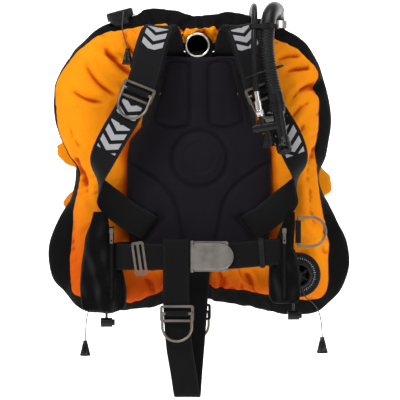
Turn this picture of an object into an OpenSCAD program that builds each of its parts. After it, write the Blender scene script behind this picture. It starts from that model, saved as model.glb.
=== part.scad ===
// Buoyancy compensator: donut wing, steel backplate, moulded back pad, webbing harness,
// power inflator, three dump valves and two hip pockets.
// Front of the vest faces -Y, +Z is up. The origin is the centre of the two tank bolts,
// on the backplate's rear face. "left" and "right" are the wearer's, so left is +X.

/* [Webbing] */
// Width of the belt and crotch webbing
webbing_w = 50; // [46:1:52]
// Width of the printed shoulder webbing
shoulder_w = 55; // [50:1:56]
// Thickness of the webbing
webbing_t = 2.4; // [2:0.1:2.6]

/* [Backplate] */
// Distance between the two tank bolts
bolt_spacing = 279.4; // [279:0.1:280]
// Radius of the tank bolt holes
bolt_r = 4.75; // [4.25:0.25:5]
// Sheet thickness of the backplate
plate_t = 3; // [2.5:0.5:4]
// Depth of the backplate's centre channel
channel_d = 18; // [16:1:19]

/* [Wing] */
// Half width of the wing's centre opening
opening_x = 78; // [74:1:82]
// Half height of the wing's centre opening
opening_z = 205; // [200:1:208]
// Thickness of the shell fabric with its liner
shell_t = 3; // [2:0.5:3]
// How far the gusset bulges past the panel seams
gusset_bulge = 22; // [18:1:24]

/* [Steel rings and slides] */
// Wire radius of the D-rings
wire_r = 2.6; // [2:0.1:2.8]
// Half of the distance between a D-ring's legs
ring_half = 28; // [27:0.5:29]
// Reach of a D-ring below its bar
ring_depth = 55; // [48:1:56]
// Length of a webbing slide
slide_l = 65; // [63:1:66]
// Width of a webbing slide
slide_w = 32; // [28:1:33]
// Thickness of a webbing slide
slide_t = 3; // [2.5:0.5:3]

/* [Hoses] */
// Outer radius of the corrugated inflator hose
hose_r = 14.5; // [13:0.5:15]
// Outer radius of the low-pressure hose
lp_r = 5.8; // [5:0.2:6]
// Radius of a dump valve's pull cord
cord_r = 1; // [0.8:0.1:1.1]

/* [Valves] */
// Outer radius of a dump valve's cap
cap_r = 27; // [25:1:28]
// Height of a dump valve's cap
cap_h = 15; // [14:1:16]

/* [Hidden] */
$fn = 48;
black = [0.06, 0.06, 0.07];
orange = [0.95, 0.45, 0.05];
steel = [0.75, 0.73, 0.7];
eps = 0.01;
running = 0.06;

// ---------- curves and sweeps ----------
function unit(v) = v / norm(v);
function spline(a, b, c, d, t) =
    0.5 * (2 * b + (c - a) * t + (2 * a - 5 * b + 4 * c - d) * t * t + (3 * b - a - 3 * c + d) * t * t * t);
// A smooth open curve through the points of p, with n steps for each span.
function smooth_open(p, n) = [
    for (i = [0 : len(p) - 2]) for (k = [0 : n - 1])
        spline(p[max(i - 1, 0)], p[i], p[i + 1], p[min(i + 2, len(p) - 1)], k / n),
    p[len(p) - 1]];
// A smooth closed curve through the points of p.
function smooth_loop(p, n) = let (m = len(p)) [
    for (i = [0 : m - 1]) for (k = [0 : n - 1])
        spline(p[(i + m - 1) % m], p[i], p[(i + 1) % m], p[(i + 2) % m], k / n)];
function tangent(p, i) = unit(p[min(i + 1, len(p) - 1)] - p[max(i - 1, 0)]);
function across(t, ref) = unit(ref - (ref * t) * t);

// Skins a list of rings of equal length, capped at both ends or joined into a loop.
module skin(rings, loop = false) {
    n = len(rings);
    m = len(rings[0]);
    function at(i, j) = (i % n) * m + (j % m);
    sides = [for (i = [0 : n - (loop ? 1 : 2)]) for (j = [0 : m - 1]) each
        [[at(i, j), at(i + 1, j), at(i + 1, j + 1)], [at(i, j), at(i + 1, j + 1), at(i, j + 1)]]];
    caps = loop ? [] : [[for (j = [0 : m - 1]) at(0, j)], [for (j = [m - 1 : -1 : 0]) at(n - 1, j)]];
    polyhedron(points = [for (r = rings) each r], faces = concat(sides, caps), convexity = 10);
}

// A round tube along path; ref is a direction that the path never runs along.
module tube(path, r, sides, ref) {
    skin([for (i = [0 : len(path) - 1]) let (t = tangent(path, i), a = across(t, ref), b = cross(t, a))
        [for (k = [0 : sides - 1]) path[i] + r * (cos(360 * k / sides) * a + sin(360 * k / sides) * b)]]);
}

// Flat webbing along stations [centre, width direction].
module ribbon(stations, w, t, steps = 3) {
    centres = smooth_open([for (s = stations) s[0]], steps);
    widths = smooth_open([for (s = stations) s[1]], steps);
    skin([for (i = [0 : len(centres) - 1])
        let (d = tangent(centres, i), a = across(d, widths[i]) * w / 2, b = unit(cross(d, a)) * t / 2,
        c = centres[i])
        [c + a - b, c + a + b, c - a + b, c - a - b]]);
}

// A flat outline with rounded corners, centred.
module rounded(w, h, r) {
    square([w - 2 * r, h], center = true);
    square([w, h - 2 * r], center = true);
    for (x = [-1, 1]) for (z = [-1, 1]) translate([x * (w / 2 - r), z * (h / 2 - r)]) circle(r);
}

// Raises a flat outline drawn in X and Z into a slab from y0 to y1.
module slab(y0, y1) {
    translate([0, y1, 0]) rotate([90, 0, 0]) linear_extrude(y1 - y0) children();
}

module flip() {
    mirror([1, 0, 0]) children();
}

// ---------- wing ----------
// The wing's outer edge, seen from the front, from top centre round by the wearer's right side.
wing_edge = [[0, 275], [-60, 275], [-110, 271], [-185, 252], [-230, 226], [-260, 198], [-292, 145],
    [-296, 100],
    [-288, 40], [-270, -15], [-258, -52], [-272, -88], [-286, -135], [-301, -190], [-298, -240],
    [-280, -275],
    [-244, -318], [-195, -325], [-130, -319], [-65, -310], [0, -304], [65, -312], [130, -321], [195, -325],
    [244, -320], [282, -286], [302, -235], [298, -185], [280, -140], [268, -95], [263, -50], [264, -10],
    [271, 50], [268, 110], [246, 180], [222, 212], [185, 238], [123, 264], [60, 274]];
edge_steps = 1;
edge_points = smooth_loop(wing_edge, edge_steps);
opening_c = [0, -5];
// Point of the rounded centre opening that faces an edge point.
function opening_at(p) = let (d = p - opening_c,
    k = pow(pow(abs(d[0]) / opening_x, 4) + pow(abs(d[1]) / opening_z, 4), -0.25)) opening_c + k * d;
// The tube is full at the sides and slim at top and bottom centre.
function side_share(p) = let (d = p - opening_c) abs(d[0]) / norm(d);
function front_fill(p) = 0.3 + 0.7 * side_share(p);
function rear_fill(p) = 0.45 + 0.55 * side_share(p);
// Panel profiles: [share of the way from opening to seam, depth].
front_profile = [[0, 4], [0.2, 0], [0.42, -15], [0.62, -40], [0.82, -50], [1, -28]];
rear_profile = [[0, 10.3], [0.15, 42], [0.4, 90], [0.65, 100], [0.85, 94], [1, 72]];
gusset_profile = [[14, -18], [3, 0], [0, 22], [3, 45], [14, 62]];
function profile_y(y, base, fill) = base + (y - base) * fill;
// Places [distance from the opening, depth] section points at edge point p.
function place(section, p) = let (o = opening_at(p), d = unit(p - o))
    [for (s = section) [o[0] + d[0] * s[0], s[1], o[1] + d[1] * s[0]]];
function seam_reach(p) = norm(p - opening_at(p)) - gusset_bulge;
function front_line(p, inset) = [for (q = front_profile)
    [q[0] * seam_reach(p) - (q[0] == 1 ? inset : 0), profile_y(q[1], 4, front_fill(p)) + inset]];
function rear_line(p, inset) = [for (q = rear_profile)
    [q[0] * seam_reach(p) - (q[0] == 1 ? inset : 0), profile_y(q[1], 10.3, rear_fill(p)) - inset]];
function gusset_line(p, inset) = [for (q = gusset_profile)
    [seam_reach(p) + gusset_bulge - q[0] - inset,
     profile_y(q[1], 22, (front_fill(p) + rear_fill(p)) / 2)]];
function reversed(v) = [for (i = [len(v) - 1 : -1 : 0]) v[i]];
module wing_loft(section) {
    skin([for (p = edge_points) place(section(p), p)], loop = true);
}
function ends(v) = [v[len(v) - 1]];
front_section = function (p) concat(front_line(p, 0), reversed(front_line(p, shell_t)));
rear_section = function (p) concat(rear_line(p, shell_t), reversed(rear_line(p, 0)));
gusset_section = function (p) concat(ends(front_line(p, 0)), gusset_line(p, 0), ends(rear_line(p, 0)),
    ends(rear_line(p, shell_t)), reversed(gusset_line(p, shell_t)), ends(front_line(p, shell_t)));
bladder_gap = shell_t + 3;
bladder_section = function (p) concat(
    [for (q = front_line(p, bladder_gap)) if (q[0] > 0) q], gusset_line(p, bladder_gap + 3),
    reversed([for (q = rear_line(p, bladder_gap)) if (q[0] > 0) q]));

module wing_front_panel() { color(orange) wing_loft(front_section); }
module wing_gusset() { color(black) wing_loft(gusset_section); }
module wing_back_panel() { color(orange) wing_loft(rear_section); }
module wing_bladder() { color("dimgray") wing_loft(bladder_section); }

panel_front = 0.4;
panel_t = 2;
module bolt_holes(r) {
    for (z = [-1, 1]) translate([0, z * bolt_spacing / 2]) circle(r);
}
module wing_centre_panel() {
    color(black) slab(panel_front, panel_front + panel_t) difference() {
        translate([0, opening_c[1]]) rounded(2 * opening_x - 6, 2 * opening_z - 8, 40);
        bolt_holes(bolt_r + 1);
    }
}
zip_half = 120;
module wing_zip() {
    color(black) slab(panel_front + panel_t, panel_front + panel_t + 2.5)
        translate([-opening_x + 22, 0]) rounded(12, 2 * zip_half, 3);
    color("silver") slab(panel_front + panel_t + 2.5, panel_front + panel_t + 5.5)
        translate([-opening_x + 22, zip_half - 14]) rounded(7, 16, 2);
}

// ---------- backplate and pad ----------
channel_half = 20;
flange_in = 31;
plate_half = 138;
flange_rise = 8;
plate_profile = [[-plate_half, -channel_d - flange_rise], [-flange_in, -channel_d], [-channel_half, 0],
    [channel_half, 0], [flange_in, -channel_d], [plate_half, -channel_d - flange_rise]];
plate_outline = [[-92, 212], [92, 212], [104, 150], [112, 60], [130, -40], [138, -120], [138, -238],
    [96, -240],
    [50, -228], [-50, -228], [-96, -240], [-138, -238], [-138, -120], [-130, -40], [-112, 60], [-104, 150]];
top_slot = [57, 191];
side_slot = [96, -156];
side_turn = 38;
belt_slot = [128, -206];
crotch_slot = [0, -208];
module backplate() {
    color(steel) difference() {
        intersection() {
            translate([0, 0, -250]) linear_extrude(480) polygon(concat(plate_profile,
                [for (i = [5 : -1 : 0]) plate_profile[i] - [0, plate_t]]));
            slab(-60, 20) polygon(plate_outline);
        }
        slab(-60, 20) {
            bolt_holes(bolt_r);
            for (s = [-1, 1]) {
                translate([s * top_slot[0], top_slot[1]]) rounded(62, 11, 3);
                translate([s * side_slot[0], side_slot[1]]) rotate(s * side_turn) rounded(8, 62, 3);
                translate([s * belt_slot[0], belt_slot[1]]) rounded(10, 56, 3);
            }
            translate(crotch_slot) rounded(58, 12, 3);
            for (p = screw_places) translate(p) circle(screw_r + 0.3);
        }
    }
}
screw_r = 3;
screw_places = [[-78, 110], [78, 110], [-108, -70], [108, -70]];
pad_front = -46;
pad_rear = -29;
pad_outline = [[-72, 182], [72, 182], [80, 140], [100, 62], [136, 20], [142, -10], [142, -150], [140, -168],
    [126, -178], [122, -196], [-122, -196], [-126, -178], [-140, -168], [-142, -150], [-142, -10],
    [-136, 20],
    [-100, 62], [-80, 140]];
flap_half = 27;
module backpad() {
    color([0.13, 0.11, 0.14]) union() {
        difference() {
            slab(pad_front, pad_rear) polygon(pad_outline);
            slab(-60, 0) for (s = [-1, 1])
                translate([s * (side_slot[0] + 1), side_slot[1] + 1]) rotate(s * side_turn)
                    rounded(19, 66, 3);
            for (p = screw_places) slab(pad_front + 6, 0) translate(p) circle(screw_r + 0.3);
        }
        slab(pad_rear - 3, pad_rear) translate([0, 200]) rounded(2 * flap_half, 52, 14);
    }
}
module pad_screws() {
    color(steel) for (p = screw_places) translate([p[0], 0, p[1]]) {
        y_plate = -channel_d - flange_rise * (abs(p[0]) - flange_in) / (plate_half - flange_in);
        translate([0, y_plate + 2.6, 0]) rotate([90, 0, 0]) cylinder(h = 2, r = 6);
        translate([0, y_plate + 2.6, 0]) rotate([90, 0, 0])
            cylinder(h = y_plate + 2.6 - pad_front - 7, r = screw_r);
    }
}
badge_at = [-3, 206];
badge_r = 24;
module badge() {
    color(black) slab(pad_rear - 6, pad_rear - 3) translate(badge_at) circle(badge_r);
    color("silver") slab(pad_rear - 6.8, pad_rear - 6) translate(badge_at) difference() {
        circle(badge_r);
        circle(badge_r - 2.5);
    }
}

// ---------- harness ----------
// Stations of the wearer's right shoulder strap, from the top slot over the shoulder to the side slot.
x_axis = [1, 0, 0];
right_strap = [
    [[-57, -12, 178], x_axis], [[-57, -16, 186], x_axis], [[-57, -25, 194], x_axis],
    [[-59, -37, 212], x_axis],
    [[-65, -54, 231], x_axis], [[-75, -74, 239], [1, 0.02, -0.05]], [[-81, -98, 227], [1, 0.05, -0.12]],
    [[-92, -115, 190], [1, 0.05, -0.2]], [[-103, -123, 146], [1, 0.05, -0.26]],
    [[-117, -127, 106], [1, 0.05, -0.38]],
    [[-138, -130, 64], [1, 0.05, -0.5]], [[-165, -130, 18], [0.9, -0.1, -0.5]],
    [[-187, -121, -26], [0.74, -0.43, -0.41]],
    [[-194, -105, -60], [0.3, -0.85, -0.4]], [[-186, -82, -86], [-0.4, -0.6, -0.65]],
    [[-161, -62, -112], [-0.62, -0.1, -0.77]],
    [[-132, -55, -134], [-0.62, 0, -0.79]], [[-110, -51, -146], [-0.62, 0, -0.79]],
    [[-100, -43, -153], [-0.62, 0, -0.79]], [[-96.5, -30, -156], [-0.62, 0, -0.79]],
    [[-96, -20, -156], [-0.62, 0, -0.79]], [[-96, -12, -156], [-0.62, 0, -0.79]]];
// The wearer's left shoulder strap swings out further and runs under the hoses.
left_strap = [
    [[57, -12, 178], x_axis], [[57, -16, 186], x_axis], [[57, -25, 194], x_axis], [[60, -37, 212], x_axis],
    [[67, -54, 231], x_axis], [[77, -74, 240], [1, -0.02, 0.1]], [[84, -94, 228], [1, -0.05, 0.2]],
    [[96, -106, 192], [1, -0.05, 0.25]], [[108, -109, 148], [1, -0.05, 0.25]],
    [[122, -110, 108], [1, -0.05, 0.4]],
    [[145, -113, 64], [1, -0.05, 0.55]], [[170, -116, 22], [0.9, 0.1, 0.5]],
    [[187, -113, -20], [0.74, 0.43, 0.41]],
    [[190, -103, -56], [0.3, 0.85, 0.4]], [[180, -80, -86], [-0.4, 0.6, 0.65]],
    [[156, -61, -112], [-0.62, 0.1, 0.77]],
    [[128, -54, -135], [-0.62, 0, 0.79]], [[110, -51, -146], [-0.62, 0, 0.79]],
    [[100, -43, -153], [-0.62, 0, 0.79]], [[96.5, -30, -156], [-0.62, 0, 0.79]],
    [[96, -20, -156], [-0.62, 0, 0.79]], [[96, -12, -156], [-0.62, 0, 0.79]]];
module shoulder_strap_right() { color(black) ribbon(right_strap, shoulder_w, webbing_t, 2); }
module shoulder_strap_left() { color(black) ribbon(left_strap, shoulder_w, webbing_t, 2); }
// Soft pads lie under the straps from behind the shoulder to the chest.
pad_w = 62;
pad_t = 7;
pad_drop = webbing_t / 2 + pad_t / 2 + 1.6;
function under(stations, from, to, side) = let (c = [for (s = stations) s[0]])
    [for (i = [from : to]) let (d = tangent(c, i), a = across(d, stations[i][1]), b = unit(cross(d, a)))
        [c[i] + side * b * pad_drop, stations[i][1]]];
module shoulder_pads() {
    color([0.09, 0.09, 0.1]) {
        ribbon(under(right_strap, 4, 8, -1), pad_w, pad_t, 2);
        ribbon(under(left_strap, 4, 8, -1), pad_w, pad_t, 2);
    }
}

belt_y = -116.7;
z_axis = [0, 0, 1];
// Each half runs from behind the plate, through its slot and round the hip to the front.
module waist_belt_right() {
    color(black) ribbon([[[-114, -21.2, -206], z_axis], [[-121, -22.3, -206], z_axis],
    [[-128, -27, -206], z_axis],
        [[-137, -35, -206], z_axis], [[-151, -48, -206], z_axis], [[-163, -66, -207], z_axis],
        [[-166, -86, -207], z_axis], [[-158, -106, -208], z_axis], [[-138, belt_y + 1, -208], z_axis],
        [[-110, belt_y, -208], z_axis], [[-60, belt_y, -208], z_axis], [[-6, belt_y, -208], z_axis]],
        webbing_w, webbing_t, 2);
}
module waist_belt_left() {
    color(black) ribbon([[[114, -21.2, -206], z_axis], [[121, -22.3, -206], z_axis],
    [[128, -27, -206], z_axis],
        [[137, -35, -205], z_axis], [[151, -48, -203], z_axis], [[163, -66, -200], z_axis],
        [[166, -86, -198], z_axis], [[158, -106, -198], z_axis], [[138, belt_y + 1, -199], z_axis],
        [[110, belt_y, -202], z_axis], [[60, belt_y, -206], z_axis], [[2, belt_y, -208], z_axis]],
        webbing_w, webbing_t, 2);
}
// The crotch strap: folded over the belt, down the front, round the bottom and up to the plate's slot.
front_x = -44;
lap_front = belt_y - 4;
lap_rear = belt_y + 3.6;
lap_top = -175;
crotch_path = [
    [[front_x + 2, lap_front - 1, -336], x_axis], [[front_x + 2, lap_front - 0.5, -318], x_axis],
    [[front_x, lap_front, -290], x_axis], [[front_x, lap_front, -240], x_axis],
    [[front_x, lap_front, -188], x_axis],
    [[front_x, lap_front + 0.6, -181], x_axis], [[front_x, (lap_front + lap_rear) / 2, lap_top - 0.5],
    x_axis],
    [[front_x, lap_rear - 0.6, -181], x_axis], [[front_x, lap_rear, -188], x_axis],
    [[front_x, lap_rear, -240], x_axis],
    [[front_x, lap_rear, -290], x_axis], [[-42, lap_rear, -330], x_axis], [[-38, -112, -380], x_axis],
    [[-30, -105, -430], x_axis], [[-25, -99, -465], x_axis], [[-23, -94, -476], x_axis],
    [[-22, -86, -479], x_axis],
    [[-21, -79, -472], x_axis], [[-18, -72, -430], x_axis], [[-13, -61, -370], x_axis],
    [[-9, -50, -318], x_axis],
    [[-6, -38, -268], x_axis], [[-2, -27, -228], x_axis], [[0, -14, -211], x_axis], [[0, -5, -208], x_axis],
    [[0, 0.2, -207.5], x_axis]];
module crotch_strap() { color(black) ribbon(crotch_path, webbing_w, webbing_t, 2); }

// A three-bar slide lying in X and Z, its rear face at y = 0.
module slide(w, t) {
    slab(-t, 0) difference() {
        rounded(slide_l, w, 5);
        for (z = [-1, 1]) translate([0, z * (w - 4) / 4]) rounded(slide_l - 11, (w - 14) / 2, 1.5);
    }
}
// A D-ring with its bar along X at the origin and its bow hanging down.
module d_ring() {
    leg = ring_depth - ring_half - wire_r;
    rotate([0, 90, 0]) cylinder(h = 2 * ring_half, r = wire_r, center = true);
    for (s = [-1, 1]) {
        translate([s * ring_half, 0, 0]) sphere(wire_r);
        translate([s * ring_half, 0, -leg]) cylinder(h = leg, r = wire_r);
    }
    translate([0, 0, -leg]) rotate([90, 0, 0]) rotate_extrude(angle = -180)
        translate([ring_half, 0]) circle(wire_r);
}
// The webbing loop that holds a D-ring's bar, bar at the origin, strap face at y = ring_stand.
ring_stand = slide_t + wire_r + 0.6;
loop_in = wire_r + 0.4;
loop_w = 44;
module ring_loop() {
    rotate([0, 90, 0]) linear_extrude(loop_w, center = true) difference() {
        union() {
            circle(loop_in + 1.6);
            translate([-loop_in - 1.6, 0]) square([2 * loop_in + 3.2, ring_stand]);
        }
        circle(loop_in);
        translate([-loop_in, 0]) square([2 * loop_in, ring_stand + 1]);
    }
}
// Places hardware on a strap: at point p on the strap's centre line, turned to lie on it.
strap_gap = 1.8;
module on_right_shoulder() {
    translate([-117, -127, 106]) rotate([-4.5, 22, 0])
        translate([0, -webbing_t / 2 - strap_gap, 0]) children();
}
module on_left_shoulder() {
    translate([122, -110, 108]) rotate([-3, -23, 0])
        translate([0, -webbing_t / 2 - strap_gap, 0]) children();
}
crotch_hardware = [front_x + 2, lap_front - 1.4 - webbing_t / 2, -316];
rear_hardware = [-9, -47.6, -318];
rear_tilt = 13;
waist_hardware = [-114, belt_y - webbing_t / 2 - 0.3, -211];
hip_bar = [192, -99, -160];
ring_drop = [0, -ring_stand, 0];
module steel_slides() {
    color(steel) {
        on_right_shoulder() slide(slide_w, slide_t);
        on_left_shoulder() slide(slide_w, slide_t);
        translate(crotch_hardware) slide(slide_w, slide_t);
        translate(waist_hardware) rotate([0, 82, 0]) slide(24, slide_t);
    }
}
module plastic_slides() {
    color(black) {
        translate(rear_hardware) rotate([rear_tilt, 0, 180]) slide(slide_w, slide_t);
        translate([120, belt_y - webbing_t / 2 - 0.4, -200]) rotate([0, 86, 0]) slab(-3, 0)
            rounded(58, 10, 3);
    }
}
module ring_loops() {
    color(black) {
        on_right_shoulder() translate(ring_drop) ring_loop();
        on_left_shoulder() translate(ring_drop) ring_loop();
        translate(crotch_hardware + ring_drop) ring_loop();
        translate(rear_hardware) rotate([rear_tilt, 0, 180]) translate(ring_drop) ring_loop();
        translate(hip_bar) rotate([0, -90, 0]) rotate([90, 0, 0]) ring_loop();
    }
}
module shoulder_ring_right() { color(steel) on_right_shoulder() translate(ring_drop) d_ring(); }
module shoulder_ring_left() { color(steel) on_left_shoulder() translate(ring_drop) d_ring(); }
module crotch_ring_front() { color(steel) translate(crotch_hardware + ring_drop) d_ring(); }
module crotch_ring_rear() {
    color(steel) translate(rear_hardware) rotate([rear_tilt, 0, 180]) translate(ring_drop)
        rotate([-rear_tilt, 0, 0]) d_ring();
}
module hip_ring() { color(steel) translate(hip_bar) rotate([0, -90, 0]) d_ring(); }

// The waist buckle: a base frame, a pin and a lever that swings open about the pin.
buckle_x = -13;
buckle_z = -207;
buckle_l = 73;
buckle_h = 58;
buckle_rear = belt_y - webbing_t / 2 - 0.3;
pin_r = 1.8;
pin_y = buckle_rear - 6;
lever_l = 78;
lever_h = 48;
module buckle_frame() {
    color(steel) {
        slab(buckle_rear - 2, buckle_rear) translate([buckle_x + buckle_l / 2 - 4, buckle_z]) difference() {
            rounded(buckle_l, buckle_h, 4);
            for (s = [-1, 1]) translate([s * (buckle_l / 2 - 12), 0]) rounded(10, 50, 2);
        }
        for (s = [-1, 1]) translate([buckle_x, pin_y, buckle_z + s * (buckle_h / 2 - 1.5)]) difference() {
            union() {
                cylinder(h = 2.6, r = 3.6, center = true);
                translate([0, 2, 0]) cube([7.2, 4, 2.6], center = true);
            }
            cylinder(h = 4, r = pin_r + 0.02, center = true);
        }
    }
}
module buckle_pin() {
    color(steel) translate([buckle_x, pin_y, buckle_z]) {
        cylinder(h = buckle_h + 1, r = pin_r, center = true);
        for (s = [-1, 1]) translate([0, 0, s * (buckle_h / 2 + 0.9)])
            cylinder(h = 1.2, r = 2.8, center = true);
    }
}
module buckle_lever() {
    color(steel) translate([buckle_x, 0, buckle_z]) difference() {
        union() {
            translate([0, pin_y, 0]) cylinder(h = lever_h, r = 3.6, center = true);
            slab(pin_y - 3.6, pin_y - 1.6) {
                translate([(lever_l - lever_h / 2) / 2, 0])
                    square([lever_l - lever_h / 2, lever_h], center = true);
                translate([lever_l - lever_h / 2, 0]) circle(lever_h / 2);
            }
        }
        translate([0, pin_y, 0]) cylinder(h = lever_h + 2, r = pin_r + 0.06, center = true);
    }
}

// ---------- pockets ----------
pocket_front = -108;
pocket_rear = -64;
right_pocket = [[-206, -116], [-178, -116], [-160, -190], [-140, -276], [-140, -306], [-152, -314],
    [-222, -314],
    [-229, -300], [-228, -245], [-222, -180]];
left_pocket = [[170, -112], [184, -112], [185.7, -130], [185.7, -192], [193, -214], [198, -285],
    [192, -298],
    [140, -298], [133, -288], [134, -240], [146, -180]];
// Seen from the side, a pocket is thin at its top, where the shoulder strap passes behind it.
pocket_side = [[pocket_front, -320], [pocket_rear, -320], [pocket_rear, -215], [-88, -150], [-97, -121],
    [pocket_front, -118]];
module pocket(outline) {
    intersection() {
        slab(pocket_front, pocket_rear) polygon(outline);
        rotate([90, 0, 90]) linear_extrude(600, center = true) polygon(pocket_side);
    }
}
module pocket_right() { color(black) pocket(right_pocket); }
module pocket_left() { color(black) pocket(left_pocket); }
right_zip_x = -168;
left_zip_x = 164;
zip_top = -150;
zip_bottom = -290;
module zip_tape(x) {
    slab(pocket_front - 2, pocket_front) translate([x, (zip_top + zip_bottom) / 2])
        rounded(10, zip_top - zip_bottom, 3);
}
module pocket_zips() {
    color([0.03, 0.03, 0.03]) {
        zip_tape(right_zip_x);
        zip_tape(left_zip_x);
    }
}
module zip_pull(x) {
    translate([x, 0, zip_top - 8]) {
        slab(pocket_front - 5, pocket_front - 2.2) rounded(8, 10, 2);
        slab(pocket_front - 4.6, pocket_front - 3) translate([0, -14]) difference() {
            rounded(6, 22, 2);
            translate([0, -5]) circle(1.6);
        }
    }
}
module zip_pull_right() { color("gray") zip_pull(right_zip_x); }
module zip_pull_left() { color("gray") zip_pull(left_zip_x); }
// Cord locks hang below the pockets on doubled shock cord.
lock_right = [-179, -84, -336];
lock_left = [183, -84, -322];
lock_r = 9;
lock_l = 22;
button_r = 6.1;
module pocket_cord(lock, top) {
    tube([[lock[0], lock[1], top], [lock[0], lock[1], (top + lock[2] + lock_r) / 2],
        [lock[0], lock[1], lock[2] + lock_r + 2 * eps]], 2.4, 8, [0, 1, 0]);
}
module pocket_cord_right() { color(black) pocket_cord(lock_right, -314 - 2 * eps); }
module pocket_cord_left() { color(black) pocket_cord(lock_left, -298 - 2 * eps); }
module cord_lock(place) {
    translate(place) rotate([0, 90, 0]) difference() {
        cylinder(h = lock_l, r = lock_r, center = true);
        translate([0, 0, lock_l / 2 - 8]) cylinder(h = 9, r = button_r + running);
    }
}
module cord_locks() {
    color([0.1, 0.1, 0.1]) {
        cord_lock(lock_right);
        cord_lock(lock_left);
    }
}
module lock_button(place) {
    translate(place + [lock_l / 2 - 3, 0, 0]) rotate([0, 90, 0]) cylinder(h = 8, r = button_r);
}
module lock_button_right() { color(black) lock_button(lock_right); }
module lock_button_left() { color(black) lock_button(lock_left); }

// ---------- inflator and hoses ----------
elbow_base = [156, 20, 256];
hose_path = smooth_open([[152, -32, 276], [148, -58, 274.5], [142, -88, 268], [136, -112, 256],
    [131.5, -131, 238],
    [129, -143, 216], [128.5, -148, 190], [131.5, -150, 160], [137.5, -150, 128], [145.1, -150, 96],
    [147, -150, 84]], 3);
elbow_path = smooth_open([[156, 20, 256], [156, 20, 264], [155, 12, 271.5], [154, 0, 275.5],
    [153, -16, 276.5],
    [152.1, -31, 276.1]], 2);
module hose_elbow() { color([0.1, 0.1, 0.1]) tube(elbow_path, hose_r + 0.5, 20, x_axis); }
module elbow_ring() {
    color("silver") translate([elbow_base[0], elbow_base[1], elbow_base[2] - 12]) difference() {
        cylinder(h = 15, r = 22);
        translate([0, 0, 11.9]) cylinder(h = 4, r = hose_r + 2.4);
    }
}
module inflator_hose() { color([0.08, 0.08, 0.08]) tube(hose_path, hose_r, 20, x_axis); }

inflator_at = [147, -150, 84];
inflator_tilt = -9;
module at_inflator() { translate(inflator_at) rotate([0, inflator_tilt, 0]) children(); }
barrel_r = 10.5;
barrel_l = 74;
arm_z = -42;
arm_r = 9.5;
arm_end = -48;
inlet_x = -34;
mouth_x = -25;
head_tilt = 35;
inflate_r = 7.1;
deflate_r = 9.1;
module at_head() { at_inflator() translate([0, 0, -barrel_l]) rotate([-head_tilt, 0, 0]) children(); }
module inflator_body() {
    color([0.1, 0.1, 0.1]) {
        difference() {
            at_inflator() {
                translate([0, 0, -barrel_l]) cylinder(h = barrel_l - 0.7, r = barrel_r);
                translate([0, 0, -16]) cylinder(h = 15.3, r = hose_r);
                translate([arm_end, 0, arm_z]) rotate([0, 90, 0]) cylinder(h = -arm_end, r = arm_r);
                translate([inlet_x, 0, arm_z]) cylinder(h = 16, r = 8);
                translate([inlet_x, 0, arm_z]) cylinder(h = 30, r = 4);
                translate([mouth_x, 0, arm_z - arm_r - 2]) cylinder(h = 6, r = 6);
            }
            at_inflator() translate([arm_end - 1, 0, arm_z]) rotate([0, 90, 0])
                cylinder(h = 9, r = inflate_r + running);
            at_head() translate([0, 0, -22]) cylinder(h = 24, r = barrel_r + 0.5);
        }
        difference() {
            at_head() translate([0, 0, -20]) cylinder(h = 26, r = 14);
            at_head() translate([0, 0, -21]) cylinder(h = 12, r = deflate_r + running);
        }
    }
}
module mouthpiece() {
    color([0.06, 0.06, 0.06]) at_inflator() hull() {
        translate([mouth_x, 0, arm_z - arm_r - 5.1]) cylinder(h = 3, r = 8, $fn = 24);
        translate([mouth_x - 3, 0, arm_z - arm_r - 28]) scale([1, 0.7, 1])
            cylinder(h = 3, r = 12.5, $fn = 24);
    }
}
module inflate_button() {
    color("dimgray") at_inflator() translate([arm_end - 4.5, 0, arm_z]) rotate([0, 90, 0])
        cylinder(h = 8, r = inflate_r);
}
module deflate_button() {
    color("dimgray") at_head() translate([0, 0, -24.5]) cylinder(h = 10.5, r = deflate_r);
}
module hose_tie(z) {
    at_inflator() translate([0, 0, z]) difference() {
        cylinder(h = 3.6, r = hose_r + 1.8);
        translate([0, 0, -1]) cylinder(h = 6, r = hose_r + 0.1);
    }
}
module quick_sleeve() {
    color("silver") at_inflator() translate([inlet_x, 0, arm_z + 22]) difference() {
        cylinder(h = 30, r = 7.6);
        translate([0, 0, -1]) cylinder(h = 13, r = 4.3);
        translate([0, 0, 12]) cylinder(h = 19, r = 5 + running);
    }
}
// The low-pressure hose: up the front, over the wing and down behind it.
lp_path = [[109.0, -150, 106.4], [106.5, -150, 122.2], [104.5, -150, 150], [104, -149.5, 185],
    [104.5, -147, 213],
    [105.5, -140, 237], [106, -127, 256], [106.5, -107, 269], [107, -80, 277], [107, -48, 281],
    [107, -10, 283],
    [107, 30, 283], [107, 66, 278], [107, 96, 266], [107, 118, 246], [107, 130, 220], [107, 135, 190],
    [107, 136, 160], [107, 136, 130], [107, 136, 104]];
module lp_hose() { color([0.07, 0.07, 0.07]) tube(smooth_open(lp_path, 2), lp_r, 10, x_axis); }
module lp_fitting() {
    color("silver") translate([107, 136, 104]) {
        translate([0, 0, -22]) cylinder(h = 22 - eps, r = 7.2);
        translate([0, 0, -28]) cylinder(h = 6, r = 9.5, $fn = 6);
        translate([0, 0, -38]) cylinder(h = 10, r = 4.75);
    }
}
module hose_nipple() {
    color("silver") at_inflator() translate([inlet_x, 0, arm_z + 40]) cylinder(h = 30, r = 5);
}
band_z = 226;
band_at = [[105, -142], [130.5, -136.5]];
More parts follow.
